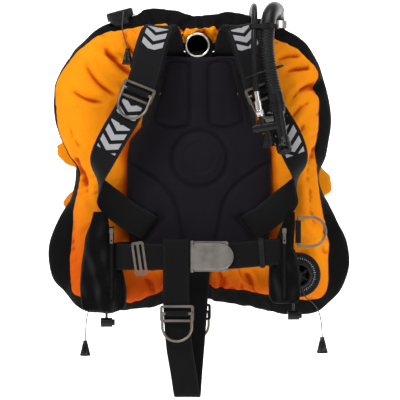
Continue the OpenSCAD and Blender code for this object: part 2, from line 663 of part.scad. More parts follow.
module hose_keepers() {
    color([0.05, 0.05, 0.05]) {
        hose_tie(-10);
        hose_tie(-4);
        translate([0, 0, band_z]) linear_extrude(8) difference() {
            hull() {
                translate(band_at[0]) circle(lp_r + 4.4, $fn = 32);
                translate(band_at[1]) circle(hose_r + 7, $fn = 32);
            }
            hull() {
                translate(band_at[0]) circle(lp_r + 3.2, $fn = 32);
                translate(band_at[1]) circle(hose_r + 5.8, $fn = 32);
            }
        }
        bungee = [for (a = [0 : 20 : 340])
            [123 + 37 * cos(a), -150 + 22 * sin(a), 143 + 13 * cos(a)]];
        skin([for (i = [0 : len(bungee) - 1]) let (n = len(bungee),
        t = unit(bungee[(i + 1) % n] - bungee[(i + n - 1) % n]),
            a = across(t, [0, 0, 1]), b = cross(t, a))
            [for (k = [0 : 7]) bungee[i] + 1.8 * (cos(45 * k) * a + sin(45 * k) * b)]], loop = true);
    }
}

// ---------- dump valves ----------
// Each valve stands on the shell, its axis along local +Z.
module at_top_valve() { translate([-156, 14, 264]) rotate([8, -15, 0]) children(); }
module at_front_valve() { translate([195, -41, -246]) rotate([90, 0, 0]) children(); }
module at_rear_valve() { translate([-200, 82, -246]) rotate([-90, 0, 0]) children(); }
seat_r = 12;
module valve_base(flange_r, sink) {
    difference() {
        union() {
            cylinder(h = 1.5, r = flange_r);
            translate([0, 0, -sink]) cylinder(h = sink + 7, r = cap_r - 3.2);
        }
        translate([0, 0, 1.5]) cylinder(h = 6, r = cap_r - 5.4);
        translate([0, 0, -sink - 1]) cylinder(h = sink + 4, r = seat_r);
    }
}
module valve_bases() {
    color(black) {
        at_top_valve() valve_base(30, 12);
        at_front_valve() valve_base(44, 14);
        at_rear_valve() valve_base(44, 14);
    }
}
// The cap has vents in its top and a notch in its rim, at local -Y turned by notch, for the cord.
module valve_cap(notch) {
    difference() {
        cylinder(h = cap_h, r = cap_r);
        translate([0, 0, -1]) cylinder(h = cap_h - 2, r = cap_r - 3);
        for (a = [0 : 60 : 300]) rotate(a) translate([14, 0, cap_h - 5]) cylinder(h = 6, r = 3);
        rotate(notch) translate([-5, -cap_r - 1, 5]) cube([10, 9, 7.4]);
    }
}
module valve_caps() {
    color([0.08, 0.08, 0.08]) {
        at_top_valve() translate([0, 0, 1.6]) valve_cap(top_notch);
        at_front_valve() translate([0, 0, 1.6]) valve_cap(front_notch);
        at_rear_valve() translate([0, 0, 1.6]) valve_cap(rear_notch);
    }
}
top_notch = 18;
front_notch = 15;
rear_notch = 190;
poppet_t = 2;
module poppet() {
    translate([0, 0, 1.7]) cylinder(h = poppet_t, r = 18);
    translate([0, 0, 1.7]) cylinder(h = 6, r = 4);
}
module poppet_top() { color("ivory") at_top_valve() poppet(); }
module poppet_front() { color("ivory") at_front_valve() poppet(); }
module poppet_rear() { color("ivory") at_rear_valve() poppet(); }
top_cord = [[-150.7, -11.2, 274.2], [-149.5, -20.5, 272.5], [-149.6, -31, 266], [-150.5, -40, 250],
    [-150, -46, 235], [-144, -53, 213], [-139.5, -58, 197]];
front_cord = [[201.5, -52.9, -270.1], [203.6, -53.5, -278], [209.5, -55, -290], [221, -56, -299],
    [233, -57, -315], [239, -57, -338], [241, -57, -367]];
rear_cord = [[-204.3, 93.9, -270.6], [-206, 94.2, -280], [-211, 95, -294], [-219, 95.5, -312],
    [-228, 96, -330], [-232, 96, -352], [-234, 96, -388]];
module cord(points) { tube(smooth_open(points, 2), cord_r, 8, [0.6, 0.8, 0.1]); }
module pull_cord_top() { color("gray") cord(top_cord); }
module pull_cord_front() { color("gray") cord(front_cord); }
module pull_cord_rear() { color("gray") cord(rear_cord); }
// A ribbed pull knob that hangs from the end of its cord.
knob_h = 31;
module knob(end) {
    translate(end) {
        translate([0, 0, -6]) cylinder(h = 6 - eps, r = 4.6);
        translate([0, 0, -knob_h]) cylinder(h = knob_h - 6, r1 = 11.5, r2 = 5.4);
    }
}
module pull_knob_top() { color(black) knob(top_cord[len(top_cord) - 1]); }
module pull_knob_front() { color(black) knob(front_cord[len(front_cord) - 1]); }
module pull_knob_rear() { color(black) knob(rear_cord[len(rear_cord) - 1]); }

wing_front_panel();
wing_gusset();
wing_back_panel();
wing_bladder();
wing_centre_panel();
wing_zip();
backplate();
backpad();
pad_screws();
badge();
shoulder_strap_left();
shoulder_strap_right();
shoulder_pads();
waist_belt_left();
waist_belt_right();
crotch_strap();
steel_slides();
plastic_slides();
ring_loops();
shoulder_ring_left();
shoulder_ring_right();
hip_ring();
crotch_ring_front();
crotch_ring_rear();
buckle_frame();
buckle_pin();
buckle_lever();
pocket_left();
pocket_right();
pocket_zips();
zip_pull_left();
zip_pull_right();
pocket_cord_left();
pocket_cord_right();
cord_locks();
lock_button_left();
lock_button_right();
hose_elbow();
elbow_ring();
inflator_hose();
inflator_body();
mouthpiece();
inflate_button();
deflate_button();
quick_sleeve();
hose_nipple();
lp_hose();
lp_fitting();
hose_keepers();
valve_bases();
valve_caps();
poppet_top();
poppet_front();
poppet_rear();
pull_cord_top();
pull_cord_front();
pull_cord_rear();
pull_knob_top();
pull_knob_front();
pull_knob_rear();
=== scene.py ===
"""A diving buoyancy vest: an inflated orange and black wing on a steel backplate with a webbing harness."""

import math

import bmesh
import bpy
import numpy as np
from mathutils import Matrix, Vector


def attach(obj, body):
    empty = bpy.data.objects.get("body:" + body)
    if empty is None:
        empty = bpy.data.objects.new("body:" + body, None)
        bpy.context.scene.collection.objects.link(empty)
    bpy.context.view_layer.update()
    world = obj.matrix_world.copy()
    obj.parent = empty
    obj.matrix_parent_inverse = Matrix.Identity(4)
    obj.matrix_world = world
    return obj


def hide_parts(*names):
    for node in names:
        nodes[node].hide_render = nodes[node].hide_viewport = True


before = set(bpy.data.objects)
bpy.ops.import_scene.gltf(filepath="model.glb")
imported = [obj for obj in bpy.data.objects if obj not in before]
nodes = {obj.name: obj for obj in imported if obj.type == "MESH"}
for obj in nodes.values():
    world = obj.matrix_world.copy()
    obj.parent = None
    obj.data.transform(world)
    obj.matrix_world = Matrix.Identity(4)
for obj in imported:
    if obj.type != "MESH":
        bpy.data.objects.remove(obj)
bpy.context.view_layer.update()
MM = 0.001


# ---------- camera, light and floor ----------
def make_camera():
    data = bpy.data.cameras.new("camera")
    data.lens = 135.5
    data.sensor_width = 36
    camera = bpy.data.objects.new("camera", data)
    camera.location = (0.002, -3.0, -0.099)
    camera.rotation_euler = (math.radians(90), 0, 0)
    bpy.context.collection.objects.link(camera)
    bpy.context.scene.camera = camera


def make_area_light(name, place, target, size, power):
    data = bpy.data.lights.new(name, "AREA")
    data.size = size
    data.energy = power
    light = bpy.data.objects.new(name, data)
    light.location = place
    light.rotation_euler = (Vector(target) - Vector(place)).to_track_quat("-Z", "Y").to_euler()
    bpy.context.collection.objects.link(light)


make_camera()
bpy.context.scene.view_settings.view_transform = "Standard"


# ---------- curves and meshes ----------
def smooth(points, steps, closed=False):
    """A Catmull-Rom curve through the points, with steps samples for each span."""
    p = np.asarray(points, float)
    n = len(p)
    spans = n if closed else n - 1
    t = np.linspace(0, 1, steps, endpoint=False)[:, None]
    parts = []
    for i in range(spans):
        if closed:
            a, b, c, d = (p[(i + k) % n] for k in (-1, 0, 1, 2))
        else:
            a, b, c, d = p[max(i - 1, 0)], p[i], p[i + 1], p[min(i + 2, n - 1)]
        bends = (2 * a - 5 * b + 4 * c - d) * t**2 + (3 * b - a - 3 * c + d) * t**3
        parts.append(0.5 * (2 * b + (c - a) * t + bends))
    if not closed:
        parts.append(p[-1:])
    return np.concatenate(parts)


def arc(points):
    """Distance along the points, starting at 0."""
    steps = np.linalg.norm(np.diff(points, axis=0), axis=1)
    return np.concatenate([[0], np.cumsum(steps)])


def resample(points, count):
    points = np.asarray(points, float)
    along = arc(points)
    at = np.linspace(0, along[-1], count)
    return np.stack([np.interp(at, along, points[:, k]) for k in range(points.shape[1])], axis=1)


def unit(v):
    v = np.asarray(v, float)
    return v / np.maximum(np.linalg.norm(v, axis=-1, keepdims=True), 1e-12)


def new_mesh(name, verts, faces, uvs=None, smooth_shade=True):
    """An object from vertices in metres. uvs is one (u, v) for each vertex."""
    mesh = bpy.data.meshes.new(name)
    mesh.from_pydata([tuple(v) for v in verts], [], [tuple(int(i) for i in f) for f in faces])
    if uvs is not None:
        layer = mesh.uv_layers.new(name="cloth")
        loops = np.zeros(len(mesh.loops), dtype=np.int32)
        mesh.loops.foreach_get("vertex_index", loops)
        layer.data.foreach_set("uv", np.asarray(uvs, float)[loops].ravel())
    mesh.polygons.foreach_set("use_smooth", np.full(len(mesh.polygons), smooth_shade))
    mesh.update()
    obj = bpy.data.objects.new(name, mesh)
    bpy.context.collection.objects.link(obj)
    return obj


def grid_faces(rows, cols, wrap_rows=False, wrap_cols=False):
    """Four-sided faces between the points of a grid, which can close on itself either way."""
    r = np.arange(rows if wrap_rows else rows - 1)
    c = np.arange(cols if wrap_cols else cols - 1)
    r, c = (a.ravel() for a in np.meshgrid(r, c, indexing="ij"))
    r2, c2 = (r + 1) % rows, (c + 1) % cols
    return np.stack([r * cols + c, r2 * cols + c, r2 * cols + c2, r * cols + c2], axis=1)


def fix_normals(obj):
    bm = bmesh.new()
    bm.from_mesh(obj.data)
    bmesh.ops.recalc_face_normals(bm, faces=bm.faces)
    bm.to_mesh(obj.data)
    bm.free()


def sweep(name, path, section, widths=None, caps=True):
    """Sweeps a closed section along path. section is an array of (across, up) offsets, or a function of the
    share of the way along that returns one. widths gives each point's across direction; without it the section
    turns as little as it can."""
    path = np.asarray(path, float)
    n = len(path)
    tangents = unit(np.gradient(path, axis=0))
    if widths is None:
        side = np.zeros_like(path)
        steady = (0.3, 0.1, 0.95) if abs(tangents[0][2]) < 0.9 else (1, 0.2, 0)
        side[0] = unit(np.cross(tangents[0], steady))
        for i in range(1, n):
            side[i] = unit(side[i - 1] - tangents[i] * np.dot(side[i - 1], tangents[i]))
    else:
        widths = np.asarray(widths, float)
        side = unit(widths - tangents * np.sum(widths * tangents, axis=1, keepdims=True))
    up = np.cross(tangents, side)
    along = arc(path)
    verts, uvs = [], []
    for i in range(n):
        s = section(along[i] / along[-1]) if callable(section) else section
        s = np.asarray(s, float)
        verts.append(path[i] + s[:, :1] * side[i] + s[:, 1:] * up[i])
        uvs += [(along[i], q) for q in s[:, 0]]
    m = len(s)
    faces = [tuple(f) for f in grid_faces(n, m, wrap_cols=True)]
    if caps:
        faces += [tuple(range(m)), tuple(range((n - 1) * m, n * m))]
    obj = new_mesh(name, np.concatenate(verts), faces, uvs)
    fix_normals(obj)
    return obj


def circle(radius, sides):
    a = np.linspace(0, 2 * math.pi, sides, endpoint=False)
    return radius * np.stack([np.cos(a), np.sin(a)], axis=1)


def strap_section(width, thick):
    """A flat strap's section with rounded edges."""
    h, half = thick / 2, width / 2
    r = 0.9 * h
    flat = np.linspace(-half + r, half - r, 9)
    turn = np.linspace(math.pi / 3, -math.pi / 3, 3)
    right = [(half - r + r * math.cos(a), r * math.sin(a)) for a in turn]
    left = [(-half + r - r * math.cos(a), -r * math.sin(a)) for a in turn]
    return [(x, h) for x in flat] + right + [(x, -h) for x in flat[::-1]] + left


def tube(name, rings, matrix):
    """A closed skin over equal rings of points in millimetres, put in place by the matrix."""
    n, sides = len(rings), len(rings[0])
    faces = [tuple(f) for f in grid_faces(n, sides, wrap_cols=True)]
    faces += [tuple(range(sides)), tuple(range((n - 1) * sides, n * sides))]
    obj = new_mesh(name, np.concatenate(rings) * MM, faces)
    fix_normals(obj)
    obj.data.transform(matrix)
    return obj


def lathe(name, profile, sides, matrix):
    """Turns a profile of (radius, height) in millimetres about the matrix's Z axis."""
    ring = circle(1, sides)
    return tube(name, [np.column_stack([ring * r, np.full(sides, z)]) for r, z in profile], matrix)


def fluted(name, profile, ribs, depth, sides, matrix):
    """A turned shape with ribs, as on a grip. profile is (radius, height, rib share) in millimetres."""
    ring = circle(1, sides)
    a = np.linspace(0, 2 * math.pi, sides, endpoint=False)
    wave = (0.5 + 0.5 * np.cos(ribs * a)) ** 0.6
    rings = []
    for r, z, share in profile:
        rings.append(np.column_stack([ring * (r - depth * share * (1 - wave))[:, None], np.full(sides, z)]))
    obj = tube(name, rings, matrix)
    obj.data.set_sharp_from_angle(angle=math.radians(50))
    return obj


def box_mesh(parts):
    """Vertices and faces of boxes given as (low corner, high corner), in millimetres."""
    verts, faces = [], []
    for low, high in parts:
        n = len(verts)
        verts += [(x, y, z) for x in (low[0], high[0]) for y in (low[1], high[1]) for z in (low[2], high[2])]
        faces += [tuple(n + k for k in f) for f in
                  ((0, 1, 3, 2), (4, 6, 7, 5), (0, 4, 5, 1), (2, 3, 7, 6), (0, 2, 6, 4), (1, 5, 7, 3))]
    return np.array(verts, float) * MM, faces


def flat_mesh(name, verts, faces, matrix=None):
    """A flat-shaded piece whose faces point outwards."""
    obj = new_mesh(name, verts, faces, smooth_shade=False)
    fix_normals(obj)
    if matrix is not None:
        obj.data.transform(matrix)
    return obj


def round_edges(obj, width, segments=2):
    bevel = obj.modifiers.new("edges", "BEVEL")
    bevel.width = width
    bevel.segments = segments
    return bevel


# ---------- materials ----------
class Look:
    """A procedural material that is built up step by step round one Principled shader."""

    def __init__(self, name, color, rough, metallic=0.0):
        self.mat = bpy.data.materials.new(name)
        self.mat.use_nodes = True
        self.tree = self.mat.node_tree
        self.shader = next(n for n in self.tree.nodes if n.type == "BSDF_PRINCIPLED")
        self.set("Base Color", (*color, 1))
        self.set("Roughness", rough)
        self.set("Metallic", metallic)
        self.height = None

    def set(self, socket, value):
        self.shader.inputs[socket].default_value = value
        return self

    def node(self, kind, links=None, **values):
        """A new node. links gives its inputs as sockets or plain values, and values its settings."""
        n = self.tree.nodes.new(kind)
        for key, value in values.items():
            setattr(n, key, value)
        for key, value in (links or {}).items():
            if hasattr(value, "is_output"):
                self.tree.links.new(value, n.inputs[key])
            else:
                n.inputs[key].default_value = value
        return n

    def coords(self, kind="Object", scale=(1, 1, 1), turn=(0, 0, 0)):
        source = self.node("ShaderNodeTexCoord").outputs[kind]
        links = {"Vector": source, "Scale": scale, "Rotation": turn}
        return self.node("ShaderNodeMapping", links).outputs["Vector"]

    def noise(self, scale, detail=3.0, rough=0.55, at=None):
        links = {"Vector": at or self.coords(), "Scale": scale, "Detail": detail, "Roughness": rough}
        return self.node("ShaderNodeTexNoise", links).outputs["Fac"]

    def wave(self, vector, period, direction="X"):
        """Straight bands; period is in metres."""
        links = {"Vector": vector, "Scale": 0.314 / period}
        return self.node("ShaderNodeTexWave", links, bands_direction=direction).outputs["Fac"]

    def math(self, operation, a, b=0.0, c=0.0):
        return self.node("ShaderNodeMath", {0: a, 1: b, 2: c}, operation=operation).outputs[0]

    def times(self, a, b, plus=0.0):
        return self.math("MULTIPLY_ADD", a, b, plus)

    def ramp(self, fac, low, high):
        """Maps low..high to 0..1 with soft ends."""
        links = {"Value": fac, "From Min": low, "From Max": high}
        return self.node("ShaderNodeMapRange", links, interpolation_type="SMOOTHSTEP").outputs["Result"]

    def split(self, vector):
        return self.node("ShaderNodeSeparateXYZ", {"Vector": vector}).outputs

    def mix(self, fac, a, b):
        a, b = ((*c, 1) if isinstance(c, tuple) else c for c in (a, b))
        return self.node("ShaderNodeMix", data_type="RGBA", links={0: fac, 6: a, 7: b}).outputs[2]

    def color(self, socket):
        self.tree.links.new(socket, self.shader.inputs["Base Color"])
        return self

    def roughness(self, fac, low, high):
        n = self.node("ShaderNodeMapRange", {"Value": fac, "To Min": low, "To Max": high})
        self.tree.links.new(n.outputs["Result"], self.shader.inputs["Roughness"])
        return self

    def bump(self, height, distance, strength=1.0):
        links = {"Height": height, "Distance": distance, "Strength": strength}
        if self.height is not None:
            links["Normal"] = self.height
        self.height = self.node("ShaderNodeBump", links).outputs["Normal"]
        self.tree.links.new(self.height, self.shader.inputs["Normal"])
        return self


def tint(color, share):
    return tuple(share * c for c in color)


def woven(name, color, shade, period=0.0011, painted_shade_and_highlight=None, painted_low_shade=None):
    """Plain-woven cloth: crossed threads with patches of lighter and darker cloth. The fold colour is painted
    in where the mesh marks it, as painted shade in the wing's folds and painted highlight on the pocket's fold
    ridges, and the low colour is painted shade that deepens towards the wearer's lower right."""
    rough = 0.72
    look = Look(name, color, rough)
    look.set("Sheen Weight", 0.02 if painted_shade_and_highlight else 0.01).set("Sheen Roughness", 0.45)
    look.set("Specular IOR Level", 0.06)
    across, along, depth = (look.wave(look.coords(), period, axis) for axis in "XZY")
    threads = look.math("MAXIMUM", look.times(across, along), look.times(depth, 0.6))
    fine = look.noise(260, 2)
    patchy = look.times(look.noise(9, 4), 0.55, look.times(fine, 0.25))
    cloth = look.mix(look.ramp(look.times(threads, 0.28, patchy), 0.25, 0.85), shade, color)
    if painted_low_shade:
        # Painted shade: the cloth is redder and darker towards the wearer's lower right.
        place = look.split(look.coords())
        shade_towards_lower_right = look.times(place["X"], -0.35, look.times(place["Z"], -1.0))
        cloth = look.mix(look.ramp(shade_towards_lower_right, 0.1, 0.34), cloth, painted_low_shade)
    # Painted fold colour from the mesh's mask: painted shade in the wing's folds, painted highlight on the
    # pocket's fold ridges.
    if painted_shade_and_highlight:
        painted_light_mask = look.node("ShaderNodeAttribute", attribute_name="painted_shade_and_highlight").outputs["Fac"]
        cloth = look.mix(painted_light_mask, cloth, painted_shade_and_highlight)
    look.color(cloth)
    look.bump(threads, 0.0002, 0.7)
    look.bump(look.noise(38), 0.0007, 0.35)
    look.roughness(fine, rough - 0.08, rough + 0.1)
    return look.mat


def webbing(name, color, printed=(), half_width=0.0275):
    """Ribbed webbing. printed is a list of (start, end) lengths along the strap that carry pale chevrons."""
    look = Look(name, color, 0.62)
    look.set("Sheen Weight", 0.02).set("Specular IOR Level", 0.08)
    at = look.coords("UV")
    threads = look.times(look.wave(at, 0.0021, "Y"), 0.7, look.times(look.wave(at, 0.0013), 0.3))
    fine = look.noise(420, 2)
    along, across = look.split(at)[:2]
    off_centre = look.math("ABSOLUTE", across)
    shade = look.ramp(look.times(fine, 0.5, look.times(threads, 0.6)), 0.2, 0.9)
    base = look.mix(shade, tint(color, 0.45), color)
    edge = look.ramp(off_centre, half_width - 0.0045, half_width - 0.0035)
    base = look.mix(look.times(edge, 0.5), base, tint(color, 1.6))
    inside = 0.0
    for start, end in printed:
        band = look.times(look.math("GREATER_THAN", along, start), look.math("LESS_THAN", along, end))
        inside = look.math("MAXIMUM", inside, band)
    if printed:
        slant = look.times(off_centre, 0.62, along)
        stripes = look.math("GREATER_THAN", look.math("FRACT", look.math("DIVIDE", slant, 0.021)), 0.40)
        middle = look.math("LESS_THAN", off_centre, 0.0205)
        worn = look.times(look.ramp(look.noise(600, 2), 0.25, 0.5), 0.25, 0.75)
        ink = look.times(look.times(look.times(inside, stripes), middle), worn)
        base = look.mix(ink, base, (0.34, 0.34, 0.355))
    look.color(base)
    look.bump(threads, 0.00035, 0.6)
    look.roughness(fine, 0.52, 0.72)
    return look.mat


def foam(name, color, rough=0.62):
    """Smooth nylon over moulded foam, with a very fine knit."""
    look = Look(name, color, rough)
    look.set("Sheen Weight", 0.05).set("Sheen Roughness", 0.5).set("Specular IOR Level", 0.06)
    knit = look.times(look.wave(look.coords(), 0.0014, "X"), look.wave(look.coords(), 0.0011, "Z"))
    patches = look.noise(14, 4)
    look.color(look.mix(look.ramp(look.times(knit, 0.25, patches), 0.3, 0.9), tint(color, 0.6), color))
    look.bump(knit, 0.00015, 0.5)
    look.bump(look.noise(60), 0.0005, 0.3)
    look.roughness(patches, rough - 0.1, rough + 0.1)
    return look.mat


def brushed(name, color, rough=0.3, stretch=(1, 1, 40)):
    """Brushed or tumbled steel with fine scratches and finger marks."""
    look = Look(name, color, rough, 1.0)
    scratches = look.noise(240, 4, 0.7, look.coords(scale=stretch))
    marks = look.noise(45)
    look.color(look.mix(look.ramp(look.times(scratches, 0.4, marks), 0.35, 0.95), tint(color, 0.62), color))
    look.roughness(look.times(scratches, 0.6, look.times(marks, 0.4)), rough - 0.1, rough + 0.16)
    look.bump(scratches, 0.0001, 0.4)
    return look.mat


def moulded(name, color, rough, grain=900, shine=0.5, metallic=0.0):
    """Moulded plastic or rubber with a fine grain and slight scuffs, or the same finish in plated metal."""
    look = Look(name, color, rough, metallic)
    look.set("Specular IOR Level", shine)
    fine = look.noise(grain, 2)
    scuffs = look.ramp(look.noise(70, 5, 0.7), 0.52, 0.75)
    look.color(look.mix(look.times(scuffs, 0.4), color, tuple(min(1, 2.2 * c + 0.01) for c in color)))
    look.bump(fine, 0.0002, 0.35)
    look.roughness(look.times(scuffs, 0.5, look.times(fine, 0.5)), rough - 0.1, rough + 0.15)
    return look.mat


def braid(name, color):
    """Thin braided cord: two crossed sets of slanting strands."""
    period = 0.0016
    look = Look(name, color, 0.7)
    look.set("Sheen Weight", 0.2)
    left = look.wave(look.coords(turn=(0.8, 0.6, 0.7)), period, "X")
    right = look.wave(look.coords(turn=(-0.8, 0.6, -0.7)), period, "Z")
    strands = look.times(left, right)
    look.color(look.mix(strands, tint(color, 0.5), tint(color, 1.4)))
    look.bump(strands, 0.0003, 0.6)
    return look.mat


# The orange cloth gets painted shade: deep red in its marked folds and redder towards the wearer's lower
# right.
ORANGE = woven("orange_cloth", (0.98, 0.345, 0.006), (0.9, 0.24, 0.003), painted_shade_and_highlight=(0.42, 0.035, 0.001),
               painted_low_shade=(0.7, 0.1, 0.003))
BLACK_CLOTH = woven("black_cloth", (0.005, 0.005, 0.0055), (0.002, 0.002, 0.002))
# The pocket cloth gets a painted highlight: its fold colour is lighter and lies on the ridges of its folds.
POCKET_CLOTH = woven("pocket_cloth", (0.003, 0.003, 0.0034), (0.0012, 0.0012, 0.0012), 0.0016,
                     painted_shade_and_highlight=(0.013, 0.013, 0.014))
FOAM = foam("pad_cloth", (0.0105, 0.0085, 0.0125))
NEOPRENE = foam("strap_pad_cloth", (0.008, 0.008, 0.009), 0.7)
STEEL = brushed("brushed_steel", (0.23, 0.2, 0.165), 0.3)
BUCKLE = brushed("satin_steel", (0.27, 0.25, 0.225), 0.34, (40, 1, 1))
CHROME = moulded("plated_metal", (0.72, 0.71, 0.69), 0.16, 300, metallic=1.0)
PLASTIC = moulded("black_plastic", (0.005, 0.005, 0.006), 0.3, shine=0.25)
RUBBER = moulded("black_rubber", (0.005, 0.005, 0.006), 0.36, 700, 0.2)
COATED = moulded("black_powder_coat", (0.006, 0.006, 0.007), 0.5, 600, 0.2)
SILICONE = moulded("seal_rubber", (0.7, 0.68, 0.6), 0.5)
PALE_PRINT = moulded("pale_print", (0.42, 0.42, 0.43), 0.6)
CORD = braid("grey_cord", (0.035, 0.035, 0.04))
SHOCK_CORD = braid("black_shock_cord", (0.02, 0.02, 0.02))
WEBBING_BLACK = (0.008, 0.008, 0.009)


def add(obj, material, body="vest", replaces=()):
    """Makes obj a piece: its material, the body it rides on and the CAD nodes it stands for."""
    obj.data.materials.clear()
    obj.data.materials.append(material)
    if replaces:
        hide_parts(*replaces)
    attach(obj, body)
    return obj


def mark_painted_shade_and_highlight(obj, depth):
    """Stores a value from 0 to 1 for each vertex, the mask of the cloth's painted shade and painted highlight.
    """
    mark = obj.data.attributes.new("painted_shade_and_highlight", "FLOAT", "POINT")
    mark.data.foreach_set("value", np.clip(depth, 0, 1).astype(np.float32).ravel())


# ---------- the wing ----------
CENTRE = np.array([0.0, -5.0])
SILHOUETTE = [
    (0, 275), (-60, 275), (-110, 271), (-185, 252), (-230, 226), (-260, 198), (-292, 145), (-296, 100),
    (-288, 40), (-270, -15), (-258, -52), (-272, -88), (-286, -135), (-301, -190), (-298, -240),
    (-280, -275), (-244, -318), (-195, -325), (-130, -319), (-65, -310), (0, -304), (65, -312),
    (130, -321), (195, -325), (244, -320), (282, -286), (302, -235), (298, -185), (280, -140), (268, -95),
    (263, -50), (264, -10), (271, 50), (268, 110), (246, 180), (222, 212), (185, 238), (123, 264),
    (60, 274),
]
FRONT_SEAM = [
    (2, 247), (-97, 247), (-146, 243), (-196, 233), (-245, 201), (-290, 136), (-282, 75), (-263, 0),
    (-243, -55), (-255, -113), (-263, -162), (-263, -249), (-259, -285), (-235, -297), (-196, -302),
    (-140, -304), (-77, -279), (2, -275), (34, -275), (101, -281), (180, -291), (229, -300), (261, -285),
    (267, -212), (265, -174), (251, -125), (239, -30), (243, 20), (245, 69), (247, 104), (235, 124),
    (245, 156), (205, 199), (146, 225), (101, 247),
]
FRONT_ROWS, GUSSET_ROWS, BACK_ROWS = 26, 9, 17
CLOTH_FRAMES = 20


def polar(points):
    """The outline's distance from the centre as a function of the angle."""
    p = smooth(points, 10, True) - CENTRE
    angle = np.unwrap(np.arctan2(p[:, 1], p[:, 0]))
    order = np.argsort(angle % (2 * math.pi))
    angle, radius = (angle % (2 * math.pi))[order], np.linalg.norm(p, axis=1)[order]
    return lambda a: np.interp(a, angle, radius, period=2 * math.pi)


def bump_at(angles, x, z, half_width):
    """1 at the angle of the point (x, z), falling to 0 on both sides."""
    middle = math.atan2(z - CENTRE[1], x - CENTRE[0])
    off = (angles - middle + math.pi) % (2 * math.pi) - math.pi
    return np.exp(-((off / half_width) ** 2))


def wing_grid(stations):
    """Points [station, row, xyz] in millimetres: front panel, gusset and back panel of the inflated wing."""
    loop = smooth(SILHOUETTE, 10, True)
    loop = resample(np.concatenate([loop, loop[:1]]), stations + 1)[:-1]
    offset = loop - CENTRE
    reach = np.linalg.norm(offset, axis=1)
    angle = np.arctan2(offset[:, 1], offset[:, 0])
    direction = offset / reach[:, None]
    k = (np.abs(offset[:, 0] / 78) ** 4 + np.abs(offset[:, 1] / 205) ** 4) ** -0.25
    inner = k * reach
    share = np.abs(direction[:, 0])
    front_fill, rear_fill = 0.3 + 0.7 * share, 0.45 + 0.55 * share
    edge = reach - inner
    lobes = bump_at(angle, -300, -215, 0.26) + bump_at(angle, 302, -235, 0.26)
    edge = edge + 5 + 7 * lobes + 4 * np.clip((loop[:, 1] - 190) / 50, 0, 1)
    flank = bump_at(angle, -272, 42, 0.16)
    edge = edge + 8 * flank
    seam = np.minimum(polar(FRONT_SEAM)(angle) + 4 + 16 * flank - inner, edge - 2)
    bump = bump_at(angle, -274, -4, 0.12) + 0.7 * bump_at(angle, -264, -94, 0.1)
    bump = bump + 0.82 * bump_at(angle, 268, -62, 0.15)
    rear = edge - 17 - 5 * bump
    grid = []
    for i in range(stations):
        # Each section is a list of (distance from the opening, Y), from the opening round the rim and back.
        f, g, r, ff, rf = seam[i], edge[i], rear[i], front_fill[i], rear_fill[i]
        front = [(0, 4), (0.2, 0), (0.42, -15), (0.62, -40), (0.82, -50), (0.94, -42), (1, -28)]
        front = [(q * f, 4 + (y - 4) * ff) for q, y in front]
        gf = (ff + rf) / 2
        mid = max(g - 21 * bump[i], f + 2)
        gusset = [(mid - 3, 0), (mid, 22), (mid - 3, 45)]
        if f > g - 9:
            gusset = [(mid - 1.5, -2), (mid - 4, 22), (mid - 6, 45)]
        gusset = [front[-1]] + [(d, 22 + (y - 22) * gf) for d, y in gusset]
        back = [(1, 72), (0.94, 86), (0.85, 94), (0.65, 100), (0.4, 90), (0.15, 42), (0, 9)]
        swollen = (0, 60, 48, 16, 0, 0, 0)
        back = [(q * r + s * bump[i], 9 + (y - 9) * rf) for (q, y), s in zip(back, swollen)]
        gusset.append(back[0])
        section = np.concatenate([
            resample(smooth(front, 8), FRONT_ROWS)[:-1],
            resample(smooth(gusset, 8), GUSSET_ROWS)[:-1],
            resample(smooth(back, 8), BACK_ROWS),
        ])
        x, z = (CENTRE + direction[i] * (inner[i] + section[:, :1])).T
        grid.append(np.column_stack([x, section[:, 1], z]))
    return np.array(grid)


def outward_in_plane(grid):
    """Directions away from the wing's centre, square to Y."""
    return unit(grid * (1, 0, 1) - (0, 0, CENTRE[1]))


def put_coords(obj, coords):
    obj.data.vertices.foreach_set("co", np.asarray(coords, np.float32).ravel())
    obj.data.update()


def get_coords(mesh):
    co = np.zeros(len(mesh.vertices) * 3, np.float32)
    mesh.vertices.foreach_get("co", co)
    return co.reshape(-1, 3).astype(float)


def vertex_group(obj, name, vertices):
    group = obj.vertex_groups.new(name=name)
    group.add([int(i) for i in vertices], 1.0, "REPLACE")
    return name


def swell(obj, cap, pressure, shrink, bending, pins=None, seams=None):
    """Fills a closed piece with Blender's cloth pressure, then caps how far each point may have moved."""
    start = get_coords(obj.data)
    modifier = obj.modifiers.new("cloth", "CLOTH")
    cloth = modifier.settings
    cloth.quality = 5
    cloth.mass = 0.3
    cloth.tension_stiffness = cloth.compression_stiffness = 15
    cloth.shear_stiffness = 5
    cloth.bending_stiffness = bending
    cloth.use_pressure = True
    cloth.uniform_pressure_force = pressure
    cloth.effector_weights.gravity = 0
    if pins is not None:
        cloth.vertex_group_mass = vertex_group(obj, "pins", pins)
    cloth.shrink_min, cloth.shrink_max = shrink
    if seams is not None:
        cloth.vertex_group_shrink = vertex_group(obj, "seams", seams)
    modifier.point_cache.frame_start, modifier.point_cache.frame_end = 1, CLOTH_FRAMES
    scene = bpy.context.scene
    for frame_number in range(1, CLOTH_FRAMES + 1):
        scene.frame_set(frame_number)
    swollen = obj.evaluated_get(bpy.context.evaluated_depsgraph_get())
    end = get_coords(swollen.data)
    obj.modifiers.remove(modifier)
    scene.frame_set(1)
    obj.vertex_groups.clear()
    move = end - start
    length = np.linalg.norm(move, axis=1, keepdims=True)
    put_coords(obj, start + move * np.minimum(1, cap / np.maximum(length, 1e-9)))


def soften(grid, passes, strength=0.5):
    """Evens out a grid that closes on itself along its stations; the first and last rows stay."""
    for _ in range(passes):
        around = (np.roll(grid, 1, 0) + np.roll(grid, -1, 0)) / 2
        grid = grid + strength * 0.5 * (around - grid)
        across_rows = grid.copy()
        across_rows[:, 1:-1] = (grid[:, 2:] + grid[:, :-2]) / 2
        grid = grid + strength * 0.5 * (across_rows - grid)
    return grid


